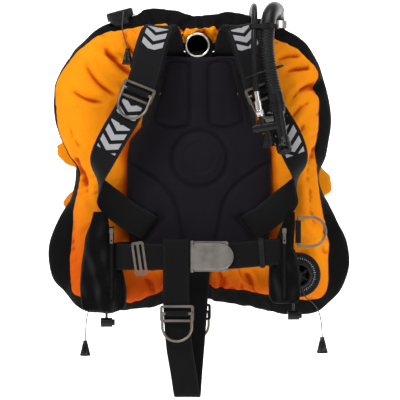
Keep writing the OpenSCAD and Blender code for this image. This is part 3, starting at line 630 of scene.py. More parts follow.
def refine(grid):
    """Doubles the stations and rows of a grid that closes on itself along its stations."""
    nearby = (9 * (grid + np.roll(grid, -1, 0)) - (np.roll(grid, 1, 0) + np.roll(grid, -2, 0))) / 16
    fine = np.empty((2 * len(grid), *grid.shape[1:]))
    fine[0::2], fine[1::2] = grid, nearby
    rows = fine.shape[1]
    before, after = 2 * fine[:, :1] - fine[:, 1:2], 2 * fine[:, -1:] - fine[:, -2:-1]
    wide = np.concatenate([before, fine, after], axis=1)
    between = (9 * (wide[:, 1:rows] + wide[:, 2:rows + 1]) - (wide[:, :rows - 1] + wide[:, 3:rows + 2])) / 16
    result = np.empty((len(fine), 2 * rows - 1, 3))
    result[:, 0::2], result[:, 1::2] = fine, between
    return result


def grid_normals(grid, outward):
    around = np.roll(grid, -1, 0) - np.roll(grid, 1, 0)
    down = np.gradient(grid, axis=1)
    normals = unit(np.cross(around, down))
    sign = np.sign(np.sum(normals * outward, axis=-1).mean())
    return normals * (sign or 1)


def along_stations(grid):
    """Length round the piece at its outermost row, for each station."""
    return arc(max(grid[:, 0], grid[:, -1], key=lambda ring: np.linalg.norm(ring, axis=-1).mean()))


def wander(u, *terms):
    """A smooth uneven wave: the sum of (wavelength, amplitude, phase) sines of u."""
    return sum(a * np.sin(2 * math.pi * u / w + p) for w, a, p in terms)


def pucker(grid, normals, rows_from_seam, spacing, depth, decay):
    """Short gathers that run away from a seam and fade out with distance from it."""
    u = along_stations(grid)[:, None]
    gathers = wander(u / spacing, (1, 0.55, 0.4), (0.61, 0.35, 2.1), (1.7, 0.45, 4.0), (3.3, 0.3, 1.0))
    strength = 0.55 + 0.45 * wander(u, (173, 0.6, 0.3), (97, 0.4, 2.6))
    fade = np.exp(-rows_from_seam / decay) * (1 - np.exp(-rows_from_seam / 2.5))
    return grid + normals * (depth * gathers * strength * fade)[..., None]


def crease(grid, normals, start, end, depth, width):
    """A fold along the line from start to end in X and Z: a valley with a soft ridge on each side."""
    a, b = np.array(start, float), np.array(end, float)
    p = grid[..., [0, 2]] - a
    length = np.linalg.norm(b - a)
    d = (b - a) / length
    t = p @ d / length
    off = p @ np.array([-d[1], d[0]]) + 0.08 * length * np.sin(math.pi * np.clip(t, 0, 1))
    ends = np.clip(np.minimum(t, 1 - t) * 4 + 0.25, 0, 1) * ((t > -0.06) & (t < 1.06))
    shape = -np.exp(-((off / width) ** 2)) + 0.45 * np.exp(-(((np.abs(off) - 2.1 * width) / width) ** 2))
    return grid + normals * (depth * shape * ends)[..., None]


def distance_from_row(grid, row):
    """Each point's distance from the given row, along its own station."""
    steps = np.linalg.norm(np.diff(grid, axis=1), axis=-1)
    along = np.concatenate([np.zeros((len(grid), 1)), np.cumsum(steps, axis=1)], axis=1)
    return np.abs(along - along[:, [row]])


def grid_piece(name, grid, material, replaced, painted_shade_and_highlight=None):
    """A cloth panel from a grid in millimetres. The last argument gives each point's share of painted shade,
    deepest in folds.
    """
    v = distance_from_row(grid, 0)
    u = np.broadcast_to(along_stations(grid)[:, None], v.shape)
    faces = grid_faces(*v.shape, wrap_rows=True)
    obj = new_mesh(name, grid.reshape(-1, 3) * MM, faces, np.stack([u, v], axis=-1).reshape(-1, 2) * MM)
    if painted_shade_and_highlight is not None:
        mark_painted_shade_and_highlight(obj, painted_shade_and_highlight)
    return add(obj, material, replaces=replaced)


def seat_valves(grid):
    """Presses the cloth flat under each dump valve's flange, and back behind the front pull cords."""
    for name, flange in (("top", 30), ("front", 44), ("rear", 44)):
        place = np.array(VALVES[name])
        local = (grid * MM - place[:3, 3]) @ place[:3, :3] / MM
        radius = np.linalg.norm(local[..., :2], axis=-1)
        near = (np.abs(local[..., 2]) < 45) & (radius < flange + 34)
        allowed = -0.8 + np.clip(radius - flange - 3, 0, None) ** 1.5 * 0.12
        extra = np.where(near, np.clip(local[..., 2] - allowed, 0, None), 0)
        grid = grid - extra[..., None] * place[:3, 2]
    inward = np.array([0, 0.8, -0.6])
    for route in (TOP_CORD, FRONT_CORD):
        line = smooth(route, 6)
        gap = np.linalg.norm(grid[..., None, :] * (1, 0.2, 1) - line * (1, 0.2, 1), axis=-1)
        nearest = line[np.argmin(gap, axis=-1)]
        over = 4.5 + np.sum((nearest - grid) * inward, axis=-1)
        fade = np.clip(1.6 - gap.min(axis=-1) / 12, 0, 1)
        grid = grid + (np.clip(over, 0, 14) * fade * (grid[..., 1] < 20))[..., None] * inward
    return grid


def fold_shade_amount(grid, outward):
    """How far each point lies below the evened-out surface, as a share of a deep fold, which sets the painted
    shade there.
    """
    normals = grid_normals(grid, outward)
    below = np.sum((soften(grid, 40, 1.0) - grid) * normals, axis=-1)
    return np.clip((below - 0.15) / 2.6, 0, 1) ** 0.8


def make_wing():
    """The shell: one closed tube of cloth is blown up, cut at its seams into three panels, and creased."""
    stations = 300
    grid = wing_grid(stations)
    rows = grid.shape[1]
    u = along_stations(grid)[:, None]
    ripple = wander(u, (31, 0.7, 0.0), (19, 0.4, 1.3), (57, 0.8, 2.9), (113, 1.4, 4.4))
    body = np.sin(math.pi * np.clip(np.arange(rows) / (rows - 1), 0, 1)) ** 0.7
    grid = grid + outward_in_plane(grid) * (ripple * body)[..., None]
    faces = grid_faces(stations, rows, wrap_rows=True, wrap_cols=True)
    shell = new_mesh("wing_start", grid.reshape(-1, 3) * MM, faces)
    fix_normals(shell)
    index = np.arange(stations * rows).reshape(stations, rows)
    front_seam, rear_seam = FRONT_ROWS - 1, FRONT_ROWS + GUSSET_ROWS - 2
    pins, seams = index[:, [0, 1, -2, -1]].ravel(), index[:, [front_seam, rear_seam]].ravel()
    swell(shell, 0.013, 5.0, (-0.03, 0.06), 0.06, pins, seams)
    grid = refine(get_coords(shell.data).reshape(stations, rows, 3) / MM)
    bpy.data.objects.remove(shell)
    front = grid[:, :2 * front_seam + 1]
    gusset = grid[:, 2 * front_seam:2 * rear_seam + 1]
    back = grid[:, 2 * rear_seam:]

    normals = grid_normals(front, np.array([0, -1.0, 0]))
    front = pucker(front, normals, distance_from_row(front, -1), 23, 3.4, 26)
    for start, end, depth, width in FRONT_CREASES:
        front = crease(front, normals, start, end, 1.5 * depth, 1.15 * width)
    normals = grid_normals(gusset, outward_in_plane(gusset))
    gusset = pucker(gusset, normals, distance_from_row(gusset, 0), 23, 1.8, 12)
    gusset = pucker(gusset, normals, distance_from_row(gusset, -1), 19, 2.4, 12)
    normals = grid_normals(back, np.array([0, 1.0, 0]))
    back = pucker(back, normals, distance_from_row(back, 0), 19, 3.0, 18)
    gusset[:, 0], gusset[:, -1] = front[:, -1], back[:, 0]
    front, gusset, back = (seat_valves(part) for part in (front, gusset, back))
    # Painted shade: the front panel is darkened in its folds, where it turns under at the bottom, and round
    # the pad as a painted shadow; the back panel is darkened in its folds.
    low = np.clip((-236 - front[..., 2]) / 34, 0, 1) * np.clip(1.25 - np.abs(front[..., 0]) / 170, 0, 1)
    to_pad = distance_to_path(front[..., [0, 2]], PAD_OUTLINE + PAD_OUTLINE[:1])
    front_painted_shade = fold_shade_amount(front, np.array([0, -1.0, 0])) + 0.8 * low + 0.55 * np.exp(-to_pad / 9)
    back_painted_shade = fold_shade_amount(back, np.array([0, 1.0, 0]))
    grid_piece("wing_front", front, ORANGE, ["wing_front_panel"], front_painted_shade)
    grid_piece("wing_side", gusset, BLACK_CLOTH, ["wing_gusset", "wing_bladder"])
    grid_piece("wing_back", back, ORANGE, ["wing_back_panel"], back_painted_shade)
    for name, ring in (("front_piping", front[:, -1]), ("rear_piping", back[:, 0])):
        pipe = sweep(name, np.concatenate([ring, ring[:2]]) * MM, circle(0.0013, 6), caps=False)
        add(pipe, BLACK_CLOTH)


# Folds in the front panel: (start, end, depth, width) in millimetres.
FRONT_CREASES = [
    ((-190, 214), (-136, 150), 5, 5), ((-228, 176), (-168, 108), 4, 5), ((-255, 120), (-188, 92), 4, 5),
    ((-262, 60), (-215, -18), 3.5, 5), ((-244, 6), (-214, -74), 3, 6), ((-150, 235), (-118, 178), 4, 4.5),
    ((-108, 240), (-92, 196), 3, 4), ((-226, -40), (-206, -118), 3, 6),
    ((-246, -124), (-240, -226), 2.6, 7), ((-150, -298), (-146, -262), 4, 5),
    ((-92, -282), (-104, -250), 4, 5), ((-210, 206), (-150, 176), 3.5, 5),
    ((-20, -272), (-30, -240), 3, 5), ((48, -272), (40, -238), 4, 5), ((106, -276), (92, -240), 4, 5),
    ((226, 160), (166, 150), 4, 5), ((232, 130), (176, 96), 4, 5), ((224, 96), (178, 58), 3.5, 5),
    ((214, 60), (188, -30), 3.2, 6), ((236, 20), (216, -86), 3, 6), ((226, -60), (232, -160), 3, 7),
    ((200, 186), (150, 172), 4, 5), ((120, 236), (108, 196), 4, 4.5), ((40, 244), (34, 220), 3, 4),
    ((-30, 244), (-36, 222), 3, 4), ((70, 240), (60, 214), 3, 4), ((252, -150), (250, -216), 2.6, 6),
]


# ---------- the back pad ----------
PAD_OUTLINE = [
    (-72, 182), (0, 184), (72, 182), (80, 140), (100, 62), (136, 20), (142, -10), (142, -150),
    (140, -168), (126, -178), (122, -196), (0, -199), (-122, -196), (-126, -178), (-140, -168),
    (-142, -150), (-142, -10), (-136, 20), (-100, 62), (-80, 140),
]
PAD_GROOVES = [
    [(20, 166), (20, 60), (34, 46), (62, 46), (86, 56)],
    [(20, 166), (30, 172), (60, 171), (67, 140), (86, 62)],
    [(136, -24), (104, -44), (74, -66), (56, -88), (46, -109), (38, -150), (30, -187)],
]
RING_CENTRE, RING_R = np.array([0, -16.5]), 55
SLOT_CENTRE, SLOT_TILT = np.array([97.0, -155.0]), math.radians(38)
PAD_FLAP = [(-24, 172), (-27, 190), (-27, 214), (-15, 226), (15, 226), (27, 214), (27, 190), (24, 172)]


def distance_to_path(points, path):
    """Each point's distance from a line through the path's corners."""
    path = np.asarray(path, float)
    best = np.full(points.shape[:-1], 1e9)
    for a, b in zip(path[:-1], path[1:]):
        d = b - a
        t = np.clip(((points - a) @ d) / (d @ d), 0, 1)
        best = np.minimum(best, np.linalg.norm(points - a - t[..., None] * d, axis=-1))
    return best


def make_pad():
    """The moulded pad, as a height over rings that shrink from its outline to the centre."""
    stations, rings = 420, 96
    outline = np.array(PAD_OUTLINE, float)
    loop = resample(np.concatenate([outline, outline[:1]]), stations + 1)[:-1]
    for _ in range(3):
        loop = (np.roll(loop, 1, 0) + 2 * loop + np.roll(loop, -1, 0)) / 4
    t = np.linspace(0, 1, rings)[None, :, None]
    flat = CENTRE + t * (loop[:, None] - CENTRE)
    edge = distance_to_path(flat, np.concatenate([loop, loop[:1]]))
    mirrored = np.stack([np.abs(flat[..., 0]), flat[..., 1]], axis=-1)
    groove = np.full(edge.shape, 1e9)
    for path in PAD_GROOVES:
        groove = np.minimum(groove, distance_to_path(mirrored, smooth(path, 5)))
    from_centre = np.linalg.norm(flat - RING_CENTRE, axis=-1)
    groove = np.minimum(groove, np.abs(from_centre - RING_R))
    # A slot on each side lets the strap through to the plate.
    x, z = np.moveaxis(mirrored - SLOT_CENTRE, -1, 0)
    c, s = math.cos(SLOT_TILT), math.sin(SLOT_TILT)
    in_slot = 1 / (1 + ((x * c + z * s) / 10) ** 8 + ((z * c - x * s) / 34) ** 8)
    depth = 15.5 * (1 - np.exp(-edge / 5.0)) ** 0.6
    depth -= 5.2 * np.exp(-((groove / 3.0) ** 2)) + 2.2 * np.exp(-((groove / 9.0) ** 2))
    depth += 1.3 * np.exp(-(((from_centre - 36) / 4.5) ** 2)) - 1.2 * np.exp(-(((from_centre - 29) / 3) ** 2))
    depth -= 11 * in_slot
    depth = np.clip(depth, 0.3, 16.8)
    dents = 0.35 * np.sin(flat[..., 0] / 17 + 1.1) * np.sin(flat[..., 1] / 23 + 0.4)
    front = np.stack([flat[..., 0], -29 - depth - dents * (edge > 8), flat[..., 1]], axis=-1)
    rim = np.stack([loop[:, 0], np.full(stations, -28.6), loop[:, 1]], axis=-1)[:, None]
    inset = CENTRE + 0.97 * (loop - CENTRE)
    rear = np.stack([inset[:, 0], np.full(stations, -28.4), inset[:, 1]], axis=-1)[:, None]
    grid = np.concatenate([front[:, 1:], rim, rear], axis=1)
    rows = grid.shape[1]
    verts = np.concatenate([grid.reshape(-1, 3), front[:1, 0], [[CENTRE[0], -28.4, CENTRE[1]]]])
    faces = [tuple(f) for f in grid_faces(stations, rows, wrap_rows=True)]
    hub, tail = len(verts) - 2, len(verts) - 1
    for i in range(stations):
        j = (i + 1) % stations
        faces += [(hub, i * rows, j * rows), (tail, j * rows + rows - 1, i * rows + rows - 1)]
    pad = new_mesh("back_pad", verts * MM, faces)
    fix_normals(pad)
    add(pad, FOAM, replaces=["backpad"])
    # The cloth flap above the pad carries the badge.
    shape = resample(PAD_FLAP, 60)
    verts = [(x, y, z) for y in (-31.6, -28.8) for x, z in shape] + [(0, -32, 198), (0, -28.6, 198)]
    n = len(shape)
    faces = []
    for i in range(n):
        j = (i + 1) % n
        faces += [(i, j, n + j, n + i), (2 * n, j, i), (2 * n + 1, n + i, n + j)]
    add(flat_mesh("pad_flap", np.array(verts) * MM, faces), BLACK_CLOTH)


# ---------- places of the harness hardware ----------
def turned(x=0, y=0, z=0):
    """A rotation about X, then Y, then Z, in degrees."""
    return (Matrix.Rotation(math.radians(z), 4, "Z") @ Matrix.Rotation(math.radians(y), 4, "Y")
            @ Matrix.Rotation(math.radians(x), 4, "X"))


def moved(x, y, z):
    """A move in millimetres."""
    return Matrix.Translation((x * MM, y * MM, z * MM))


WEBBING_T = 2.4
# How far each ring stands off the strap that it hangs on.
RING_STAND = 6.2
BELT_Y = -116.7
ON_RIGHT = moved(-117, -127, 106) @ turned(-4.5, 22, 0) @ moved(0, -WEBBING_T / 2 - 1.8, 0)
ON_LEFT = moved(122, -110, 108) @ turned(-3, -23, 0) @ moved(0, -WEBBING_T / 2 - 1.8, 0)
ON_CROTCH = moved(-42, BELT_Y - 6.6, -316)
ON_REAR = moved(-9, -47.6, -318) @ turned(13, 0, 180)
RING_DROP = moved(0, -RING_STAND, 0)
HIP = moved(192, -99, -160) @ turned(0, -90, 0) @ turned(90, 0, 0)
AT_INFLATOR = moved(147, -150, 84) @ turned(0, -9, 0)
AT_HEAD = AT_INFLATOR @ moved(0, 0, -74) @ turned(-35, 0, 0)
VALVES = {
    "top": moved(-156, 14, 264) @ turned(8, -15, 0),
    "front": moved(195, -41, -246) @ turned(90, 0, 0),
    "rear": moved(-200, 82, -246) @ turned(-90, 0, 0),
}

X, Z = (1, 0, 0), (0, 0, 1)
INWARD = (-0.62, 0, -0.79)
# A strap is a list of stations: (centre, width direction). Both straps start and end alike.
STRAP_START = [((-57, -12, 178), X), ((-57, -16, 186), X), ((-57, -25, 194), X)]
STRAP_END = [((-110, -51, -146), INWARD), ((-100, -43, -153), INWARD), ((-96.5, -30, -156), INWARD),
             ((-96, -20, -156), INWARD), ((-96, -12, -156), INWARD)]


def mirrored_stations(stations):
    return [((-x, y, z), (across, -depth, -up)) for (x, y, z), (across, depth, up) in stations]


RIGHT_STRAP = STRAP_START + [
    ((-59, -37, 212), X), ((-65, -54, 231), X), ((-75, -74, 239), (1, 0.02, -0.05)),
    ((-81, -98, 227), (1, 0.05, -0.12)), ((-92, -115, 190), (1, 0.05, -0.2)),
    ((-103, -123, 146), (1, 0.05, -0.26)), ((-117, -127, 106), (1, 0.05, -0.38)),
    ((-138, -130, 64), (1, 0.05, -0.5)), ((-165, -130, 18), (0.9, -0.1, -0.5)),
    ((-187, -121, -26), (0.74, -0.43, -0.41)), ((-194, -105, -60), (0.3, -0.85, -0.4)),
    ((-186, -82, -86), (-0.4, -0.6, -0.65)), ((-161, -62, -112), (-0.62, -0.1, -0.77)),
    ((-132, -55, -134), INWARD),
] + STRAP_END
LEFT_STRAP = mirrored_stations(STRAP_START) + [
    ((60, -37, 212), X), ((67, -54, 231), X), ((77, -74, 240), (1, -0.02, 0.1)),
    ((84, -94, 228), (1, -0.05, 0.2)), ((96, -106, 192), (1, -0.05, 0.25)),
    ((108, -109, 148), (1, -0.05, 0.25)), ((122, -110, 108), (1, -0.05, 0.4)),
    ((145, -113, 64), (1, -0.05, 0.55)), ((170, -116, 22), (0.9, 0.1, 0.5)),
    ((187, -113, -20), (0.74, 0.43, 0.41)), ((190, -103, -56), (0.3, 0.85, 0.4)),
    ((180, -80, -86), (-0.4, 0.6, 0.65)), ((156, -61, -112), (-0.62, 0.1, 0.77)),
    ((128, -54, -135), (-0.62, 0, 0.79)),
] + mirrored_stations(STRAP_END)
RIGHT_BELT = [(p, Z) for p in [
    (-114, -21.2, -206), (-121, -22.3, -206), (-128, -27, -206), (-137, -35, -206), (-151, -48, -206),
    (-163, -66, -207), (-166, -86, -207), (-158, -106, -208), (-138, BELT_Y + 1, -208),
    (-110, BELT_Y, -208), (-60, BELT_Y, -208), (-6, BELT_Y, -208),
]]
LEFT_BELT = [(p, Z) for p in [
    (114, -21.2, -206), (121, -22.3, -206), (128, -27, -206), (137, -35, -205), (151, -48, -203),
    (163, -66, -200), (166, -86, -198), (158, -106, -198), (138, BELT_Y + 1, -199), (110, BELT_Y, -202),
    (60, BELT_Y, -206), (2, BELT_Y, -208),
]]
LAP_FRONT, LAP_REAR, LAP_TOP, FRONT_X = BELT_Y - 4, BELT_Y + 3.6, -175, -44
CROTCH = [(p, X) for p in [
    (FRONT_X + 2, LAP_FRONT - 1, -336), (FRONT_X + 2, LAP_FRONT - 0.5, -318), (FRONT_X, LAP_FRONT, -290),
    (FRONT_X, LAP_FRONT, -240), (FRONT_X, LAP_FRONT, -188), (FRONT_X, LAP_FRONT + 0.6, -181),
    (FRONT_X, (LAP_FRONT + LAP_REAR) / 2, LAP_TOP - 0.5), (FRONT_X, LAP_REAR - 0.6, -181),
    (FRONT_X, LAP_REAR, -188), (FRONT_X, LAP_REAR, -240), (FRONT_X, LAP_REAR, -290),
    (-42, LAP_REAR, -330), (-38, -112, -380), (-30, -105, -430), (-25, -99, -465), (-23, -94, -476),
    (-22, -86, -479), (-21, -79, -472), (-18, -72, -430), (-13, -61, -370), (-9, -50, -318),
    (-6, -38, -268), (-2, -27, -228), (0, -14, -211), (0, -5, -208), (0, 0.2, -207.5),
]]


def strap(name, stations, width, material, replaced):
    """Flat webbing through stations of (centre, width direction), in millimetres."""
    centres, widths = (smooth([s[k] for s in stations], 10) for k in (0, 1))
    obj = sweep(name, centres * MM, strap_section(width * MM, WEBBING_T * MM), widths)
    add(obj, material, replaces=[replaced])


def lengths_along(stations, *places):
    """The length from a strap's start to its nearest point to each place, in metres."""
    path = smooth([s[0] for s in stations], 10) * MM
    return [arc(path)[np.argmin(np.linalg.norm(path - np.array(place) * MM, axis=1))] for place in places]


def shoulder_pad(name, stations):
    """A cloth-covered pad under a strap, from behind the shoulder to the chest."""
    first, last, sides = 40, 81, 28
    centres, widths = (smooth([s[k] for s in stations], 10) for k in (0, 1))
    t = unit(np.gradient(centres, axis=0))
    a = unit(widths - t * np.sum(widths * t, axis=1, keepdims=True))
    path = centres - np.cross(t, a) * (WEBBING_T / 2 + 5.1)
    c, s = circle(1, sides).T
    shape = np.stack([31 * np.sign(c) * abs(c) ** 0.35, 3.6 * np.sign(s) * abs(s) ** 0.6], axis=1) * MM

    def section(share):
        end = min(share, 1 - share) / 0.06
        k = 0.25 + 0.75 * min(end, 1.0) ** 0.5
        return shape * np.array([0.93 + 0.07 * k, k])

    return sweep(name, path[first:last] * MM, section, a[first:last])


def make_straps():
    right_print = [
        lengths_along(RIGHT_STRAP, (-79, -90, 232), (-92, -115, 192)),
        lengths_along(RIGHT_STRAP, (-128, -129, 84), (-142, -130, 58)),
        lengths_along(RIGHT_STRAP, (-148, -130, 46), (-176, -127, -4)),
    ]
    left_print = [
        lengths_along(LEFT_STRAP, (82, -88, 232), (96, -106, 192)),
        lengths_along(LEFT_STRAP, (140, -113, 74), (153, -114, 50)),
        lengths_along(LEFT_STRAP, (160, -115, 38), (184, -114, -12)),
    ]
    plain = webbing("webbing_belt", (0.005, 0.005, 0.0055), half_width=0.025)
    for side, stations, printed in (("right", RIGHT_STRAP, right_print), ("left", LEFT_STRAP, left_print)):
        cloth = webbing("webbing_" + side, WEBBING_BLACK, printed)
        strap("strap_" + side, stations, 55, cloth, "shoulder_strap_" + side)
    strap("belt_right", RIGHT_BELT, 50, plain, "waist_belt_right")
    strap("belt_left", LEFT_BELT, 50, plain, "waist_belt_left")
    strap("crotch_webbing", CROTCH, 50, plain, "crotch_strap")
    right_pad = shoulder_pad("shoulder_pad_right", RIGHT_STRAP)
    add(right_pad, NEOPRENE, replaces=["shoulder_pads"])
    add(shoulder_pad("shoulder_pad_left", LEFT_STRAP), NEOPRENE)


def make_loops():
    """The webbing loops that hold the rings' bars."""
    r = 3.0 + 0.9
    path = [(0, RING_STAND, -r), (0, RING_STAND * 0.5, -r)]
    path += [(0, -r * math.cos(a), r * math.sin(a)) for a in np.linspace(-math.pi / 2, math.pi / 2, 13)]
    path += [(0, RING_STAND * 0.5, r), (0, RING_STAND, r)]
    places = {"right": ON_RIGHT @ RING_DROP, "left": ON_LEFT @ RING_DROP, "front": ON_CROTCH @ RING_DROP,
              "rear": ON_REAR @ RING_DROP, "hip": HIP}
    for n, matrix in places.items():
        name = "loop_" + n
        obj = sweep(name, np.array(path) * MM, strap_section(0.044, 0.0015), [X] * len(path))
        obj.data.transform(matrix)
        cloth = webbing(name + "_webbing", WEBBING_BLACK, half_width=0.022)
        add(obj, cloth, replaces=["ring_loops"] if n == "right" else [])


# ---------- pockets ----------
ZIP_X = {"right": -168, "left": 164}
ZIP_Y = -108.4


def pocket(side):
    """A bag from the CAD's pocket: remeshed, rounded, blown up and wrinkled."""
    node = "pocket_" + side
    obj = bpy.data.objects.new("pocket_bag_" + side, nodes[node].data.copy())
    bpy.context.collection.objects.link(obj)
    remesh = obj.modifiers.new("remesh", "REMESH")
    remesh.mode = "VOXEL"
    remesh.voxel_size = 0.0045
    rounding = obj.modifiers.new("rounding", "SMOOTH")
    rounding.iterations = 6
    rounding.factor = 0.6
    mesh = bpy.data.meshes.new_from_object(obj.evaluated_get(bpy.context.evaluated_depsgraph_get()))
    obj.modifiers.clear()
    obj.data = mesh
    co = get_coords(mesh)
    normals = np.array([v.normal for v in mesh.vertices], float)
    put_coords(obj, co - normals * 0.0015)
    swell(obj, 0.007, 4.0, (-0.02, -0.02), 0.1)
    co = get_coords(mesh)
    normals = np.array([v.normal for v in mesh.vertices], float)
    x, _, z = (co / MM).T
    folds = np.sin(x / 4.6 + 1.6 * np.sin(z / 37) + z / 55) * (0.6 + 0.4 * np.sin(z / 43 + x / 17))
    folds += 0.35 * np.sin(z / 9 + 1.4 * np.sin(x / 12))
    co += normals * (1.1 * MM * folds)[:, None]
    # The cloth lies flat under the zip, so the pull can slide over it.
    under_zip = ZIP_Y + 0.2
    in_lane = (np.abs(co[:, 0] / MM - ZIP_X[side]) < 9) & (co[:, 1] / MM < under_zip + 10)
    co[in_lane, 1] = np.maximum(co[in_lane, 1], under_zip * MM)
    put_coords(obj, co)
    # Painted highlight: the cloth is lighter on the ridges of these folds.
    mark_painted_shade_and_highlight(obj, folds - 0.15)
    mesh.polygons.foreach_set("use_smooth", np.ones(len(mesh.polygons), bool))
    fine = obj.modifiers.new("fine", "SUBSURF")
    fine.levels = fine.render_levels = 1
    add(obj, POCKET_CLOTH, replaces=[node])


def zip_fastener(name, x, y, low, high, facing, width, replaces=()):
    """A zip along Z: a cloth tape with interlocking teeth. facing is -1 for the front and 1 for the back."""

    def layer(inner, outer):
        return sorted((y + facing * inner, y + facing * outer))

    near, far = layer(0, 1.2)
    verts, faces = box_mesh([((x - width / 2, near, low), (x + width / 2, far, high))])
    add(flat_mesh(name + "_tape", verts, faces), POCKET_CLOTH, replaces=replaces)
    near, far = layer(1.0, 2.1)
    teeth = []
    z = low + 2
    while z < high - 2:
        middle = x + (0.9 if len(teeth) % 2 else -0.9)
        teeth.append(((middle - 1.5, near, z), (middle + 1.5, far, z + 1.15)))
        z += 1.55
    add(flat_mesh(name + "_teeth", *box_mesh(teeth)), PLASTIC)


def make_pockets():
    for side in ("right", "left"):
        pocket(side)
    for side, replaces in (("right", ["pocket_zips"]), ("left", [])):
        zip_fastener("zip_" + side, ZIP_X[side], ZIP_Y, -290, -150, -1, 10, replaces)


# ---------- valves, knobs and cords ----------
TOP_CORD = [(-150.7, -11.2, 274.2), (-149.5, -20.5, 272.5), (-149.6, -31, 266), (-150.5, -40, 250),
            (-150, -46, 235), (-144, -53, 213), (-139.5, -58, 197)]
FRONT_CORD = [(201.5, -52.9, -270.1), (203.6, -53.5, -278), (209.5, -55, -290), (221, -56, -299),
              (233, -57, -315), (239, -57, -338), (241, -57, -367)]
REAR_CORD = [(-204.3, 93.9, -270.6), (-206, 94.2, -280), (-211, 95, -294), (-219, 95.5, -312),
             (-228, 96, -330), (-232, 96, -352), (-234, 96, -388)]


def round_cord(name, node, path, radius, material, body):
    """A round cord as one open curve."""
    data = bpy.data.curves.new(name, "CURVE")
    data.dimensions = "3D"
    data.bevel_depth = radius
    data.bevel_resolution = 4
    data.use_fill_caps = True
    line = data.splines.new("POLY")
    line.points.add(len(path) - 1)
    for point, place in zip(line.points, path):
        point.co = (*place, 1)
    line.use_smooth = True
    obj = bpy.data.objects.new(name, data)
    bpy.context.collection.objects.link(obj)
    return add(obj, material, body, [node])


KNOB = [(0.5, 0.2, 0), (3.6, 0.2, 0), (4.6, -0.8, 0), (4.6, -5.4, 0), (5.2, -6.2, 0.2), (5.9, -8, 1),
        (8, -18, 1), (10.6, -28, 1), (11.4, -29.6, 0.3), (10.4, -31, 0), (3.4, -31, 0), (2.6, -29.4, 0),
        (0.5, -29.4, 0)]


def make_pulls():
    for n, route in (("top", TOP_CORD), ("front", FRONT_CORD), ("rear", REAR_CORD)):
        path = smooth(route, 8) * MM
        body = "pull_" + n
        knob = fluted("knob_" + n, KNOB, 12, 1.3, 96, moved(*route[-1]))
        add(knob, PLASTIC, body, ["pull_knob_" + n])
        line = round_cord("cord_" + n, "pull_cord_" + n, path, 0.001, CORD, body)


def fan(reaches, count, width, heights, step=0.0, start=0.0):
    """Boxes that point outwards round Z: each of the count groups has one box for every reach."""
    verts, faces = [], []
    for k in range(count):
        for i, (near, far) in enumerate(reaches):
            box, sides = box_mesh([((near, -width / 2, heights[0]), (far, width / 2, heights[1]))])
            turn = np.array(Matrix.Rotation(math.radians(start + k * 360 / count + i * step), 3, "Z"))
            faces += [tuple(len(verts) + v for v in f) for f in sides]
            verts += list(box @ turn.T)
    return verts, faces


RIM = [(25.2, 0.2, 0), (26.6, 0.2, 0), (27, 1.2, 1), (27, 11.4, 1), (26.4, 13.6, 0.6), (24.6, 15, 0),
       (20.5, 15, 0), (19.6, 14, 0), (19.4, 12.4, 0)]
HUB = [(0.1, 12), (0.1, 15.6), (4, 15.4), (6.4, 14.6), (7, 13), (7, 12)]
PLATE = [(0.1, 11.6), (20.5, 11.6), (20.5, 12.4), (0.1, 12.4)]


def make_valves():
    """Each cap is a ribbed rim, a plate and a hub, joined by spokes."""
    for n, place in VALVES.items():
        at = place @ moved(0, 0, 1.6)
        rim = fluted("valve_rim_" + n, RIM, 36, 1.1, 216, at)
        add(rim, PLASTIC, replaces=["valve_caps"] if n == "top" else [])
        add(lathe("valve_hub_" + n, HUB, 48, at), PLASTIC)
        add(lathe("valve_plate_" + n, PLATE, 48, at), PLASTIC)
        spokes = flat_mesh("valve_spokes_" + n, *fan([(6, 20.4)], 6, 3, (12, 14.2), start=30), at)
        round_edges(spokes, 0.0005)
        add(spokes, PLASTIC)
        if n == "front":
            # Pale ticks are printed round the seat, long and short in turn.
            ticks = fan([(31.2, 33.6), (30.4, 34.4), (31.2, 33.6)], 16, 1.1, (1.6, 1.85), 7.5)
            add(flat_mesh("valve_marks", *ticks, place), PALE_PRINT)
        if n != "top":
            # Stitching holds the seat to the shell.
            ring = np.column_stack([circle(38.5, 72), np.full(72, 1.7)])
            ring = np.concatenate([ring, ring[:1]]) * MM
            seam = sweep("valve_stitch_" + n, ring, circle(0.0005, 6), caps=False)
            seam.data.transform(place)
            add(seam, BLACK_CLOTH)


# ---------- hoses ----------
HOSE = [(152, -32, 276), (148, -58, 274.5), (142, -88, 268), (136, -112, 256), (131.5, -131, 238),
        (129, -143, 216), (128.5, -148, 190), (131.5, -150, 160), (137.5, -150, 128), (145.1, -150, 96),
        (147, -150, 84)]
ELBOW = [(156, 20, 256), (156, 20, 264), (155, 12, 271.5),
         (154, 0, 275.5), (153, -16, 276.5), (152.1, -31, 276.1)]
LP_HOSE = [(109.0, -150, 106.4), (106.5, -150, 122.2), (104.5, -150, 150), (104, -149.5, 185),
           (104.5, -147, 213), (105.5, -140, 237), (106, -127, 256), (106.5, -107, 269), (107, -80, 277),
           (107, -48, 281), (107, -10, 283), (107, 30, 283), (107, 66, 278), (107, 96, 266),
           (107, 118, 246), (107, 130, 220), (107, 135, 190), (107, 136, 160), (107, 136, 130),
           (107, 136, 104)]


